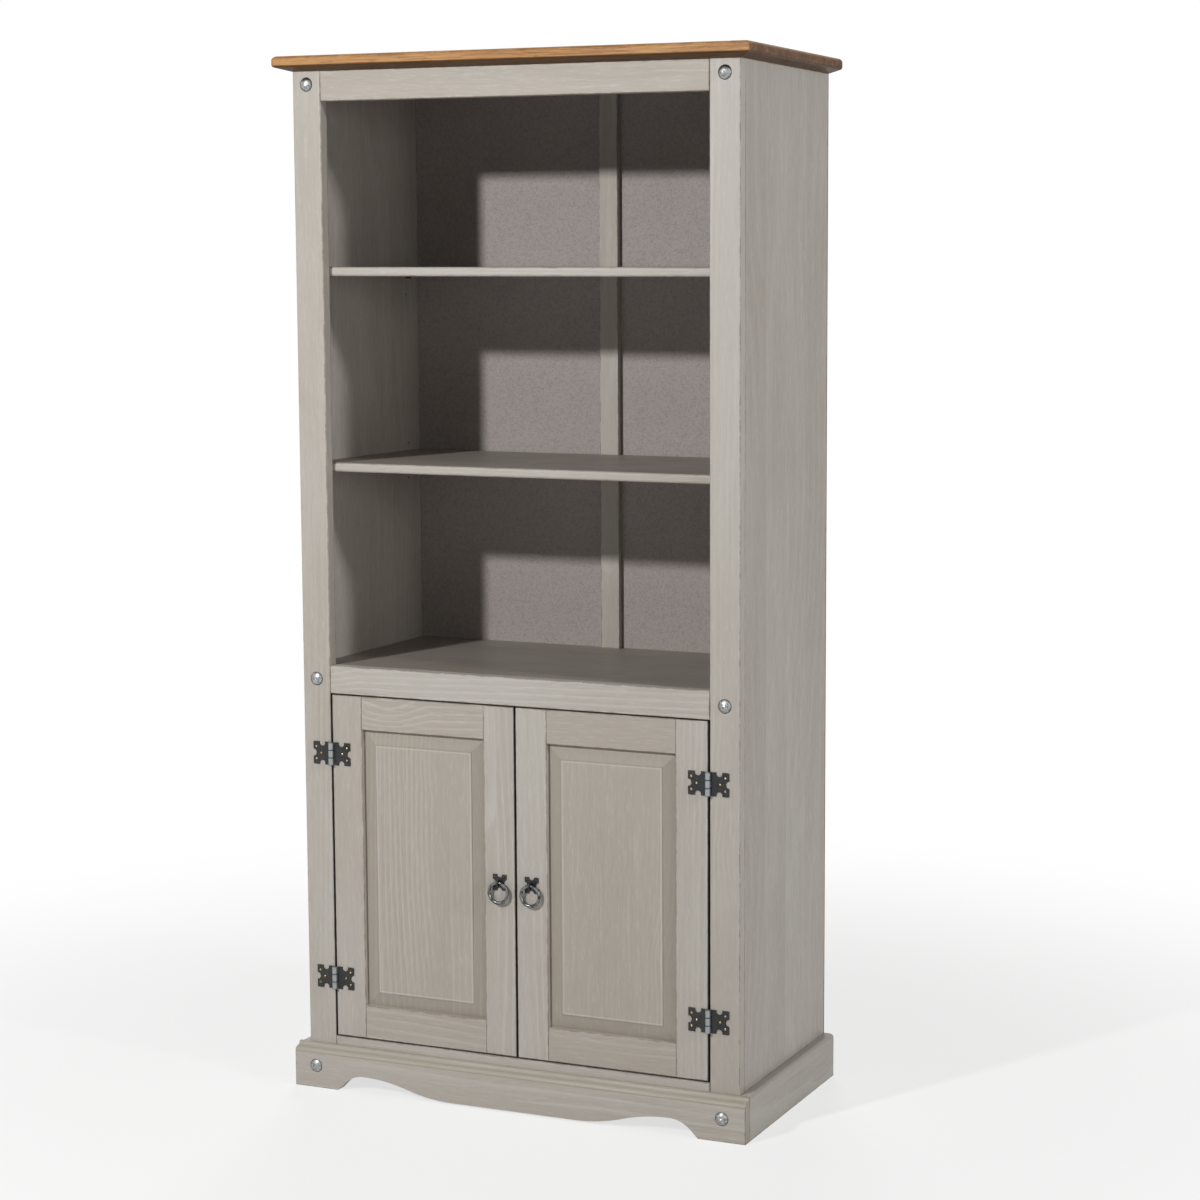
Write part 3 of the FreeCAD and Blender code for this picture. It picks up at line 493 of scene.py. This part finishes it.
GREY = {
    "wash": paint(184, 178, 170),
    "thick_wash": paint(190, 185, 178),
    # The thin wash colour serves as a random cloud tone, and as painted shade on some boards
    "thin_wash_and_shade": paint(172, 164, 154),
    "streak": paint(213, 211, 206),
    "fibre": paint(150, 142, 131),
    "knot": paint(139, 123, 106),
    "edge": paint(116, 102, 87),
    # Painted shade for the gaps round and between the doors
    "painted_gap_shade": paint(38, 32, 27),
    "end": paint(150, 140, 126),
    "flat": paint(118, 110, 101),
    # Painted shade for the sloping border of the door panels
    "bevel": paint(150, 143, 130),
    # An olive tone for the skirt's moulded top, and painted shade in the crease at its foot
    "moulding": paint(160, 151, 132),
}
GREY_SHARES = {
    "thin_wash_and_shade": 0.8,
    "thick_wash": 0.5,
    "knot": 0.55,
    "end": 0.6,
    "flat": 0.65,
    "bevel": 0.45,
    "bevel_highlight": 0.3,
    "edge": 0.6,
    "painted_gap_shade": 0.9,
}
GREY_LAYERS = (
    ("Fibre", 0.48, 0.85, 0.45, "fibre"),
    ("Pores", 0.52, 0.74, 0.36, "streak"),
    ("Pores", 0.46, 0.26, 0.26, "fibre"),
    ("Streak", 0.54, 0.80, 0.12, "streak"),
    ("Streak", 0.46, 0.22, 0.14, "fibre"),
)
GREY_EDGE_REACH = 0.0022
OPEN_GRAIN = 1.0
FILLED_GRAIN = 0.6
SIDE_GROWTH = 0.13
OTHER_GROWTH = 0.24
# Boards darkened as painted shade with most of the thin wash colour
PAINTED_SHADE_BOARDS = ("top_rail", "door_bottom_rail", "door_panel")


def grey_wood(board, lie, number, stave_width):
    """Pine under a thin grey wash: pale growth lines, fine fibres, few knots, brownish worn edges.

    On the sides the wash leaves the fine grain open and hides more of the growth lines.
    """
    material, tree, shader = new_material(f"grey_wood_{board}")
    place = object_place(tree)
    figure, tone = board_figure(tree, place, lie, number, stave_width)
    smudge = use_group(tree, HANDLING, {"Vector": place})["Smudge"]
    on_side = lie == "upright_side"

    cloud = fade(tree, figure["Cloud"], NOISE_LOW, NOISE_HIGH)
    colour = blend(tree, cloud, GREY["thin_wash_and_shade"], GREY["wash"])
    # Painted shade: these boards take most of the thin wash colour
    if board.endswith(PAINTED_SHADE_BOARDS):
        colour = blend(tree, GREY_SHARES["thin_wash_and_shade"], colour, GREY["thin_wash_and_shade"])
    else:
        colour = cover(tree, tone, GREY_SHARES["thick_wash"], colour, GREY["thick_wash"])
    growth_share = SIDE_GROWTH if on_side else OTHER_GROWTH
    colour = cover(tree, figure["Growth"], growth_share, colour, GREY["streak"])
    fine_share = OPEN_GRAIN if on_side else FILLED_GRAIN
    colour = lay_noises(tree, colour, figure, GREY_LAYERS, GREY, fine_share)

    masks = {"knot": figure["Knot"], "end": facing(tree, lie, ALONG)}
    if lie == "level_flat":
        masks["flat"] = facing(tree, lie, THROUGH)
    # On a door panel the sloping border takes painted shade
    if board in PANELS:
        masks["bevel"], bevel_highlight = bevel_shade_and_highlight(tree, place, board)
    for name, mask in masks.items():
        colour = cover(tree, mask, GREY_SHARES[name], colour, GREY[name])
    # A painted highlight on the line where the raised field begins
    if board in PANELS:
        colour = cover(tree, bevel_highlight, GREY_SHARES["bevel_highlight"], colour, GREY["streak"])
    # The skirt's moulded top: an olive tone, and painted shade in the crease at its foot
    if board == "front_skirt":
        colour = blend(tree, skirt_moulding(tree, place), colour, GREY["moulding"])
    edge = board_edges(tree, place, board, GREY_EDGE_REACH)
    colour = cover(tree, edge, GREY_SHARES["edge"], colour, GREY["edge"])
    # Painted shade in the gaps round and between the doors
    if board.endswith(BOARDS_AT_GAPS):
        colour = cover(tree, gap_shade_mask(tree, place), GREY_SHARES["painted_gap_shade"], colour, GREY["painted_gap_shade"])
    tree.links.new(colour, shader.inputs["Base Color"])

    shader.inputs["Specular IOR Level"].default_value = 0.3
    roughen(tree, shader, figure["Fibre"], low=0.40, high=0.52, smudge=smudge, smear=0.06)
    fibre = scaled(tree, figure["Fibre"], FIBRE_RELIEF)
    height = calc(tree, "ADD", fibre, scaled(tree, figure["Growth"], GROWTH_RELIEF))
    bump(tree, shader, height, strength=0.35, depth=0.0003)
    return material


WAXED = {
    "early": paint(190, 142, 93),
    "pale": paint(206, 160, 110),
    "late": paint(122, 77, 41),
    "fibre": paint(112, 76, 44),
    "knot": paint(78, 48, 27),
    "edge": paint(118, 80, 46),
    "end": paint(84, 53, 28),
    # Painted shade on the faces of the top board that look down
    "under": paint(58, 38, 22),
}
WAXED_SHARES = {
    "tone": 0.25,
    "growth": 0.4,
    "knot": 0.85,
    "least_end": 0.6,
    "most_end": 0.95,
    "under": 0.85,
    "edge": 0.4,
}
WAXED_LAYERS = (
    ("Fibre", 0.42, 0.80, 0.75, "fibre"),
    ("Streak", 0.48, 0.76, 0.55, "late"),
    ("Pores", 0.48, 0.72, 0.5, "late"),
)
WAXED_EDGE_REACH = 0.006
END_MOTTLE_SCALE = 70.0
END_MOTTLE_FADE = (0.35, 0.7)
UNDERSIDE_SHADE_FADE = (-0.1, -0.5)


def waxed_pine(board, lie, number, stave_width):
    """Golden-brown waxed pine: dark growth lines on a honey ground, brown knots, a satin wax."""
    material, tree, shader = new_material(f"waxed_pine_{board}")
    place = object_place(tree)
    figure, tone = board_figure(tree, place, lie, number, stave_width)
    smudge = use_group(tree, HANDLING, {"Vector": place})["Smudge"]

    cloud = fade(tree, figure["Cloud"], NOISE_LOW, NOISE_HIGH)
    colour = blend(tree, cloud, WAXED["early"], WAXED["pale"])
    colour = cover(tree, tone, WAXED_SHARES["tone"], colour, WAXED["edge"])
    colour = cover(tree, figure["Growth"], WAXED_SHARES["growth"], colour, WAXED["late"])
    colour = lay_noises(tree, colour, figure, WAXED_LAYERS, WAXED)
    colour = cover(tree, figure["Knot"], WAXED_SHARES["knot"], colour, WAXED["knot"])
    mottle = noise(tree, place, scale=END_MOTTLE_SCALE, detail=4.0, roughness=0.65).outputs["Fac"]
    end_share = fade(tree, mottle, *END_MOTTLE_FADE, WAXED_SHARES["most_end"], WAXED_SHARES["least_end"])
    colour = cover(tree, facing(tree, lie, ALONG), end_share, colour, WAXED["end"])
    # Painted shade on faces that look down
    upward = split(tree, object_normal(tree))["Z"]
    underside_shade_share = fade(tree, upward, *UNDERSIDE_SHADE_FADE, high=WAXED_SHARES["under"])
    colour = blend(tree, underside_shade_share, colour, WAXED["under"])
    edge = board_edges(tree, place, board, WAXED_EDGE_REACH)
    colour = cover(tree, edge, WAXED_SHARES["edge"], colour, WAXED["edge"])
    tree.links.new(colour, shader.inputs["Base Color"])

    shader.inputs["Specular IOR Level"].default_value = 0.08
    roughen(tree, shader, figure["Fibre"], low=0.30, high=0.40, smudge=smudge, smear=0.10)
    fibre = scaled(tree, figure["Fibre"], FIBRE_RELIEF)
    height = calc(tree, "SUBTRACT", fibre, scaled(tree, figure["Growth"], GROWTH_RELIEF))
    bump(tree, shader, height, strength=0.3, depth=0.0003)
    return material


HARDBOARD = {
    "ground": paint(169, 161, 157),
    "dark": paint(140, 131, 127),
    "pale": paint(184, 177, 174),
    "raw": paint(150, 112, 74),
    "raw_dark": paint(112, 78, 48),
}
HARDBOARD_LAYERS = (
    ("coarse", 0.44, 0.70, 0.7, "dark"),
    ("fine", 0.52, 0.72, 0.8, "dark"),
    ("flakes", 0.22, 0.08, 0.5, "pale"),
)
COARSE_SPECKLE = 340.0
FINE_SPECKLE = 720.0
FLAKE_SCALE = 460.0
HARDBOARD_SPECKS = 0.5
RAW_FADE = (0.4, 0.7)
REAR_FADE = (-0.6, -0.4)
SCREEN_SPACING = 0.0022
SCREEN_SHARE = 0.35


def speckled_hardboard(board):
    """Mauve-grey speckled face to the front; the back is raw brown board with a pressed screen.

    The screen is two crossing waves, across and up.
    """
    material, tree, shader = new_material(f"speckled_{board}")
    place = object_place(tree)
    handling = use_group(tree, HANDLING, {"Vector": place})
    coarse = noise(tree, place, scale=COARSE_SPECKLE, detail=3.0, roughness=0.65).outputs["Fac"]
    fine = noise(tree, place, scale=FINE_SPECKLE, detail=2.0, roughness=0.6).outputs["Fac"]
    flakes = add(tree, "ShaderNodeTexVoronoi", {"Vector": place, "Scale": FLAKE_SCALE}).outputs["Distance"]

    noises = {"coarse": coarse, "fine": fine, "flakes": flakes}
    face = lay_noises(tree, HARDBOARD["ground"], noises, HARDBOARD_LAYERS, HARDBOARD)
    face = cover(tree, handling["Speck"], HARDBOARD_SPECKS, face, HARDBOARD["dark"])

    raw = blend(tree, fade(tree, coarse, *RAW_FADE), HARDBOARD["raw"], HARDBOARD["raw_dark"])
    waves = [add(tree, "ShaderNodeTexWave", {"Vector": place, "Scale": WAVE_PERIOD / SCREEN_SPACING},
                 wave_type="BANDS", bands_direction=direction).outputs["Fac"] for direction in ("X", "Z")]
    screen = calc(tree, "MULTIPLY", *waves)
    raw = cover(tree, screen, SCREEN_SHARE, raw, HARDBOARD["raw_dark"])

    rear = fade(tree, split(tree, object_normal(tree))["Y"], *REAR_FADE)
    tree.links.new(blend(tree, rear, face, raw), shader.inputs["Base Color"])
    roughen(tree, shader, fine, low=0.55, high=0.72, smudge=handling["Smudge"], smear=0.06)
    height = calc(tree, "ADD", fine, calc(tree, "MULTIPLY", screen, rear))
    bump(tree, shader, height, strength=0.3, depth=0.0003)
    return material


# Metal and plastic finishes


IRON = {
    "paint": paint(22, 23, 26),
    "thin": paint(52, 54, 58),
    # Pale grey metal: worn paint and painted highlight on edges and knuckles
    "bare_and_highlight": paint(176, 180, 182),
    "dust": paint(96, 90, 82),
}
IRON_EDGE_REACH = 0.0011
DENT_SCALE = 260.0
PIT_SCALE = 900.0
THIN_FADE = (0.4, 0.7)
DUST_SHARE = 0.18
EDGE_WEAR_AND_HIGHLIGHT_SHARE = 0.8
PIT_DEPTH = 0.3
PAINTED_METALLIC = 0.35
BARE_METALLIC = 0.55

# How much of the knuckle's wear and painted highlight the pits leave, and how much is left near a joint
# between its parts, within a share of a part's height
PIT_FADE = (0.3, 0.6)
PITTED_WEAR_AND_HIGHLIGHT = 0.6
JOINT_FADE = (0.12, 0.04)
JOINT_WEAR_AND_HIGHLIGHT = 0.2


def knuckle_wear_and_highlight(tree, place, pits, leaf):
    """How far the knuckle of a hinge leaf, which lies close to the hinge's axis, is worn to the metal and
    given a painted highlight.

    The knuckle's parts share the leaf's height evenly, and little of the wear and highlight is left where
    they meet.
    """
    parts = split(tree, place)
    beside = calc(tree, "SUBTRACT", calc(tree, "ABSOLUTE", parts["X"]), HINGE_AXIS_X)
    before = calc(tree, "SUBTRACT", parts["Y"], HINGE_AXIS_Y)
    squares = calc(tree, "ADD", calc(tree, "POWER", beside, 2.0), calc(tree, "POWER", before, 2.0))
    barrel = fade(tree, calc(tree, "SQRT", squares), KNUCKLE_RIM, KNUCKLE_CORE)
    wear_and_highlight = calc(tree, "MULTIPLY", barrel, fade(tree, pits, *PIT_FADE, low=1.0, high=PITTED_WEAR_AND_HIGHLIGHT))
    low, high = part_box(leaf)
    part_height = (high.z - low.z) / KNUCKLE_PARTS
    upward = calc(tree, "DIVIDE", calc(tree, "SUBTRACT", parts["Z"], low.z), part_height)
    from_joint = calc(tree, "ABSOLUTE", calc(tree, "SUBTRACT", upward, calc(tree, "ROUND", upward)))
    return calc(tree, "MULTIPLY", wear_and_highlight, fade(tree, from_joint, *JOINT_FADE, low=1.0, high=JOINT_WEAR_AND_HIGHLIGHT))


def black_iron(board, with_knuckle):
    """Black-painted iron with a hammered skin; pale grey on its rim and, on a hinge, round its knuckle,
    partly worn metal and partly painted highlight.
    """
    material, tree, shader = new_material(f"black_iron_{board}")
    place = object_place(tree)
    handling = use_group(tree, HANDLING, {"Vector": place})
    dents = add(tree, "ShaderNodeTexVoronoi", {"Vector": place, "Scale": DENT_SCALE},
                feature="SMOOTH_F1").outputs["Distance"]
    pits = noise(tree, place, scale=PIT_SCALE, detail=3.0).outputs["Fac"]

    colour = blend(tree, fade(tree, pits, *THIN_FADE), IRON["paint"], IRON["thin"])
    colour = cover(tree, handling["Smudge"], DUST_SHARE, colour, IRON["dust"])
    # Worn edges, lightened further as painted highlight
    bare_and_highlight = scaled(tree, board_edges(tree, place, board, IRON_EDGE_REACH), EDGE_WEAR_AND_HIGHLIGHT_SHARE)
    if with_knuckle:
        bare_and_highlight = calc(tree, "MAXIMUM", bare_and_highlight, knuckle_wear_and_highlight(tree, place, pits, board))
    colour = blend(tree, bare_and_highlight, colour, IRON["bare_and_highlight"])
    tree.links.new(colour, shader.inputs["Base Color"])

    metallic = calc(tree, "ADD", scaled(tree, bare_and_highlight, BARE_METALLIC), PAINTED_METALLIC)
    tree.links.new(metallic, shader.inputs["Metallic"])
    roughen(tree, shader, pits, low=0.34, high=0.52)
    bump(tree, shader, calc(tree, "ADD", dents, scaled(tree, pits, PIT_DEPTH)), strength=0.45, depth=0.0004)
    return material


# How far a dome's surface faces backward where its painted rim shade starts and where it is full
RIM_SHADE_START = -0.95
RIM_SHADE_FULL = -0.78
RIM_SHADE_SHARE = 0.9
DULL_FADE = (0.38, 0.68)
DULL_SPECKS = 0.4


def patinated_metal(name, bright, dull, roughness, spot_scale, rim=None):
    """Bright metal with duller clouds and small pits; roughness is the low and the high value.

    A rim colour paints shade on a dome where its surface turns away from the front.
    """
    material, tree, shader = new_material(name)
    place = object_place(tree)
    handling = use_group(tree, HANDLING, {"Vector": place})
    clouds = noise(tree, place, scale=spot_scale, detail=4.0, roughness=0.6).outputs["Fac"]
    colour = blend(tree, fade(tree, clouds, *DULL_FADE), bright, dull)
    colour = cover(tree, handling["Speck"], DULL_SPECKS, colour, dull)
    # Painted shade towards the dome's rim
    if rim:
        backward = split(tree, object_normal(tree))["Y"]
        colour = blend(tree, fade(tree, backward, RIM_SHADE_START, RIM_SHADE_FULL, high=RIM_SHADE_SHARE), colour, rim)
    tree.links.new(colour, shader.inputs["Base Color"])
    shader.inputs["Metallic"].default_value = 1.0
    roughen(tree, shader, clouds, *roughness)
    bump(tree, shader, clouds, strength=0.15, depth=0.0002)
    return material


PEWTER = {
    "bright": paint(178, 180, 180),
    "dull": paint(118, 119, 118),
    # Painted shade for the rim of a stud
    "rim": paint(48, 45, 42),
}
STUD_CLOUD_SCALE = 260.0
STUD_CLOUD_FADE = (0.36, 0.66)
STUD_RIM_SHADE_FADE = (0.45, 0.05)
STUD_RIM_SHADE_SHARE = 0.8


def pewter_studs():
    """Pewter domes with painted shade towards the rim, where the height over the wood is small."""
    material, tree, shader = new_material("pewter_studs")
    place = object_place(tree)
    parts = split(tree, place)
    seat = fade(tree, parts["Z"], SKIRT_STUDS_BELOW, STILE_STUDS_ABOVE, SKIRT_FACE, FRONT_FACE)
    height = calc(tree, "DIVIDE", calc(tree, "SUBTRACT", seat, parts["Y"]), STUD_HEIGHT)
    clouds = noise(tree, place, scale=STUD_CLOUD_SCALE, detail=4.0, roughness=0.6).outputs["Fac"]
    colour = blend(tree, fade(tree, clouds, *STUD_CLOUD_FADE), PEWTER["bright"], PEWTER["dull"])
    # Painted shade towards the rim
    colour = blend(tree, fade(tree, height, *STUD_RIM_SHADE_FADE, high=STUD_RIM_SHADE_SHARE), colour, PEWTER["rim"])
    tree.links.new(colour, shader.inputs["Base Color"])
    shader.inputs["Metallic"].default_value = 1.0
    roughen(tree, shader, clouds, low=0.24, high=0.40)
    bump(tree, shader, clouds, strength=0.25, depth=0.0004)
    return material


PLASTIC_SKIN_SCALE = 1400.0


def moulded_plastic(name, base, worn):
    """Moulded plastic with a fine spark-eroded skin."""
    material, tree, shader = new_material(name)
    place = object_place(tree)
    handling = use_group(tree, HANDLING, {"Vector": place})
    skin = noise(tree, place, scale=PLASTIC_SKIN_SCALE, detail=2.0).outputs["Fac"]
    tree.links.new(blend(tree, handling["Smudge"], base, worn), shader.inputs["Base Color"])
    roughen(tree, shader, skin, low=0.38, high=0.55)
    bump(tree, shader, skin, strength=0.2, depth=0.0001)
    return material


# The finish of each solid


SIDES = ("left", "right")
HEIGHTS = ("upper", "lower")
GREY_BOARDS = {
    "upright_front": [f"{side}_{board}" for side in SIDES
                      for board in ("front_stile", "door_hinge_stile", "door_meeting_stile")]
                     + ["upper_back_strip", "lower_back_strip"],
    "level_front": ["top_rail", "middle_rail", "bottom_rail", "front_skirt", "rear_base_rail"]
                   + [f"{side}_door_{rail}" for side in SIDES for rail in ("top_rail", "bottom_rail")],
    "level_side": ["left_skirt", "right_skirt", "top_cleats", "deck_cleats", "base_cleats"],
}

# Broad boards glued from staves, with the width of a stave; the narrow boards take staves of a metre

GREY_PANELS = {
    "upright_front": (PANELS, 0.086),
    "upright_side": (("left_side_panel", "right_side_panel"), 0.092),
    "level_flat": (("middle_deck", "base_deck", "upper_shelf", "lower_shelf", "cupboard_shelf"), 0.088),
}
TOP_STAVE = 0.105
WIDEST_STAVE = 1.0


def dress(node, material):
    """Give a solid its finish in all its material slots."""
    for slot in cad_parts[node].material_slots:
        slot.material = material


def dress_wood():
    """Wood for the boards, each from its own part of the trunk, and hardboard for the back."""
    number = 1
    for lie, boards in GREY_BOARDS.items():
        for board in boards:
            dress(board, grey_wood(board, lie, number, WIDEST_STAVE))
            number += 1
    for lie, (boards, stave_width) in GREY_PANELS.items():
        for board in boards:
            dress(board, grey_wood(board, lie, number, stave_width))
            number += 1
    dress("top_board", waxed_pine("top_board", "level_flat", number, TOP_STAVE))
    for side in SIDES:
        dress(f"{side}_back_sheet", speckled_hardboard(f"{side}_back_sheet"))


NAIL_ROUGHNESS = (0.28, 0.45)
NAIL_SPOTS = 420.0


def dress_metal():
    """Metal for the hinges, pulls, nails and studs, and plastic for the pegs and catches."""
    # The brass nails' rim colour is painted shade round each dome
    brass = patinated_metal("brass_nails", paint(182, 162, 118), paint(66, 57, 44),
                            NAIL_ROUGHNESS, NAIL_SPOTS, rim=paint(36, 33, 28))
    dark = patinated_metal("dark_nails", paint(70, 70, 72), paint(30, 30, 31), NAIL_ROUGHNESS, NAIL_SPOTS)
    pewter = patinated_metal("pewter_rings", paint(128, 130, 131), paint(36, 36, 37),
                             roughness=(0.14, 0.30), spot_scale=170.0)
    steel = patinated_metal("dull_steel", paint(168, 170, 170), paint(120, 121, 120),
                            roughness=(0.30, 0.46), spot_scale=180.0)
    black = moulded_plastic("black_pegs", paint(36, 35, 34), paint(58, 55, 52))
    brown = moulded_plastic("brown_plastic", paint(92, 66, 46), paint(112, 86, 64))
    for side in SIDES:
        for height in HEIGHTS:
            for leaf in (f"{side}_{height}_frame_leaf", f"{side}_door_{height}_leaf"):
                dress(leaf, black_iron(leaf, with_knuckle=True))
        dress(f"{side}_pull_plate", black_iron(f"{side}_pull_plate", with_knuckle=False))
        dress(f"{side}_ring", pewter)
        dress(f"{side}_door_leaf_nails", brass)
        dress(f"{side}_pull_nails", dark)
        dress(f"{side}_strike_plate", steel)
    dress("frame_leaf_nails", brass)
    dress("hinge_pins", steel)
    dress("face_studs", pewter_studs())
    for shelf in ("upper", "lower", "cupboard"):
        dress(f"{shelf}_shelf_pins", black)
    dress("door_catches", brown)


# Nails that hold the back sheets, seen from behind


NAIL_HEAD_RADIUS = 0.0026
NAIL_HEAD_HEIGHT = 0.0011
NAIL_SPACING = 0.16
NAIL_INSET = 0.009


def dome_grid(spots, radius, height, rings=4, spokes=12):
    """Domes on the back: at share s of the radius a dome stands height * (1 - s * s) proud.

    Returns the points of every dome and the faces between its rings.
    """
    shares = np.linspace(0.0, 1.0, rings + 1)[1:]
    turns = np.linspace(0.0, 2 * np.pi, spokes, endpoint=False)
    share, turn = np.meshgrid(shares, turns, indexing="ij")
    sideways = radius * share * np.cos(turn)
    proud = height * (1 - share * share)
    upward = radius * share * np.sin(turn)
    bowl = np.stack([sideways, proud, upward], -1).reshape(-1, 3)
    dome = np.vstack([[[0.0, height, 0.0]], bowl])
    points = (spots[:, None, :] + dome[None, :, :]).reshape(-1, 3)

    spoke = np.arange(spokes)
    after = (spoke + 1) % spokes
    inner = np.arange(rings - 1)[:, None] * spokes + 1
    outer = inner + spokes
    quads = np.stack([inner + spoke, inner + after, outer + after, outer + spoke], -1).reshape(-1, 4)
    caps = np.stack([np.zeros(spokes, int), after + 1, spoke + 1], -1)
    starts = np.arange(len(spots))[:, None, None] * len(dome)
    cap_faces = (starts + caps[None]).reshape(-1, 3).tolist()
    ring_faces = (starts + quads[None, :, ::-1]).reshape(-1, 4).tolist()
    return points, cap_faces + ring_faces


def new_piece(name, points, faces, material, body):
    """A smooth mesh piece that rides on a body and takes the finish it is given."""
    mesh = bpy.data.meshes.new(name)
    mesh.from_pydata(points.tolist(), [], faces)
    mesh.polygons.foreach_set("use_smooth", np.ones(len(mesh.polygons), bool))
    mesh.materials.append(material)
    piece = bpy.data.objects.new(name, mesh)
    bpy.context.scene.collection.objects.link(piece)
    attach(piece, body)


def spread(start, end):
    """Evenly spaced places from start to end, about one nail spacing apart."""
    return np.linspace(start, end, int(round(abs(end - start) / NAIL_SPACING)) + 1)


def back_nails():
    """Nail heads round both back sheets, in the sides and decks that the sheets are nailed to."""
    low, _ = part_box("left_back_sheet")
    _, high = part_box("right_back_sheet")
    deck_low, deck_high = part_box("middle_deck")
    columns = (low.x + NAIL_INSET, high.x - NAIL_INSET)
    foot, head = low.z + NAIL_INSET, high.z - NAIL_INSET
    upright = spread(foot, head)
    level = spread(*columns)[1:-1]
    rows = [(x, z) for x in columns for z in upright]
    rows += [(x, z) for z in (foot, head, (deck_low.z + deck_high.z) / 2) for x in level]
    spots = np.array([(x, BACK_FACE, z) for x, z in rows])
    points, faces = dome_grid(spots, NAIL_HEAD_RADIUS, NAIL_HEAD_HEIGHT)
    steel = patinated_metal("back_nail_steel", paint(150, 150, 148), paint(96, 92, 88),
                            roughness=(0.34, 0.5), spot_scale=300.0)
    new_piece("back_sheet_nails", points, faces, steel, "cabinet")


# Floor, light and camera


def seen_rays(tree):
    """1 for what the camera sees, directly or in a gloss or through glass."""
    rays = tree.nodes.new("ShaderNodeLightPath").outputs
    seen = calc(tree, "MAXIMUM", rays["Is Camera Ray"], rays["Is Glossy Ray"])
    return calc(tree, "MAXIMUM", seen, rays["Is Transmission Ray"])


WHITE = (1.0, 1.0, 1.0, 1.0)
FLOOR_HALF = 14.0
SHADED_WITHIN = 0.7
WHITE_BEYOND = 2.2
LEAST_WHITE = 0.70


def studio_floor():
    """A pale floor that keeps a soft shadow near the cabinet and turns plain white further out."""
    corners = [(-FLOOR_HALF, -FLOOR_HALF, 0.0), (FLOOR_HALF, -FLOOR_HALF, 0.0),
               (FLOOR_HALF, FLOOR_HALF, 0.0), (-FLOOR_HALF, FLOOR_HALF, 0.0)]
    mesh = bpy.data.meshes.new("studio_floor")
    mesh.from_pydata(corners, [], [(0, 1, 2, 3)])
    floor = bpy.data.objects.new("studio_floor", mesh)
    bpy.context.scene.collection.objects.link(floor)

    material, tree, shader = new_material("floor_paper")
    mesh.materials.append(material)
    place = object_place(tree)
    mottle = noise(tree, place, scale=3.0, detail=3.0).outputs["Fac"]
    tone = blend(tree, mottle, paint(236, 236, 235), paint(240, 240, 239))
    tree.links.new(tone, shader.inputs["Base Color"])
    shader.inputs["Roughness"].default_value = 0.9
    shader.inputs["Specular IOR Level"].default_value = 0.0
    flat = stretched(tree, place, 1.0, 0.0)
    distance = add(tree, "ShaderNodeVectorMath", {0: flat}, operation="LENGTH").outputs["Value"]
    whiteness = fade(tree, distance, SHADED_WITHIN, WHITE_BEYOND, low=LEAST_WHITE)
    glow = add(tree, "ShaderNodeEmission", {"Color": WHITE, "Strength": 1.0})
    share = calc(tree, "MULTIPLY", seen_rays(tree), whiteness)
    mixed = add(tree, "ShaderNodeMixShader", {0: share, 1: shader.outputs[0], 2: glow.outputs[0]})
    tree.links.new(mixed.outputs[0], tree.nodes["Material Output"].inputs["Surface"])


ROOM_LIGHT = 0.08


def white_room():
    """A white surround for what is seen, and an even dim light for the rest."""
    world = bpy.data.worlds.new("white_room")
    world.use_nodes = True
    tree = world.node_tree
    surround = tree.nodes["Background"]
    surround.inputs["Color"].default_value = WHITE
    strength = fade(tree, seen_rays(tree), 0.0, 1.0, low=ROOM_LIGHT)
    tree.links.new(strength, surround.inputs["Strength"])
    bpy.context.scene.world = world


def aim_at(holder, place, ahead):
    """Put a lamp or camera in a place, looking ahead along a vector."""
    holder.location = place
    holder.rotation_mode = "QUATERNION"
    holder.rotation_quaternion = ahead.to_track_quat("-Z", "Y")
    bpy.context.scene.collection.objects.link(holder)


def lamp(name, place, aim, power, size, in_gloss=True):
    """A round soft lamp at a place, turned to its aim; it may be kept out of glossy reflections."""
    light = bpy.data.lights.new(name, "AREA")
    light.shape = "DISK"
    light.energy = power
    light.size = size
    holder = bpy.data.objects.new(name, light)
    holder.visible_glossy = in_gloss
    aim_at(holder, place, Vector(aim) - Vector(place))


def studio_lamps():
    """A small key lamp at the front left, two lamps at the right and a broad one behind."""
    lamp("key_lamp", place=(-1.15, -3.38, 2.66), aim=(0.0, 0.0, 0.9), power=99.0, size=0.20)
    lamp("side_lamp", place=(6.5, -1.25, 3.2), aim=(0.4, 0.0, 0.9), power=134.0, size=0.5)
    lamp("low_side_lamp", place=(6.0, -3.1, 1.8), aim=(0.0, 0.0, 0.9), power=36.0, size=1.2)
    lamp("rear_lamp", place=(-1.7, 4.2, 3.4), aim=(0.0, 0.2, 0.9), power=110.0, size=2.2, in_gloss=False)


CAMERA_PLACE = (2.0338, -4.1468, 1.4353)
CAMERA_YAW = math.radians(-22.727)
CAMERA_PITCH = math.radians(-6.876)
CAMERA_LENS = 80.3
CAMERA_SHIFT = (-0.10, -0.01)


def photo_camera():
    """The photograph's view: from the right, a little above the middle, at a moderate distance."""
    camera = bpy.data.cameras.new("photo_camera")
    camera.sensor_width = 36.0
    camera.lens = CAMERA_LENS
    camera.shift_x, camera.shift_y = CAMERA_SHIFT
    camera.clip_end = 100.0
    level = math.cos(CAMERA_PITCH)
    ahead = Vector((math.sin(CAMERA_YAW) * level, math.cos(CAMERA_YAW) * level, math.sin(CAMERA_PITCH)))
    holder = bpy.data.objects.new("photo_camera", camera)
    aim_at(holder, CAMERA_PLACE, ahead)
    bpy.context.scene.camera = holder


dress_wood()
dress_metal()
back_nails()
studio_floor()
white_room()
studio_lamps()
photo_camera()
bpy.context.scene.view_settings.view_transform = "Standard"
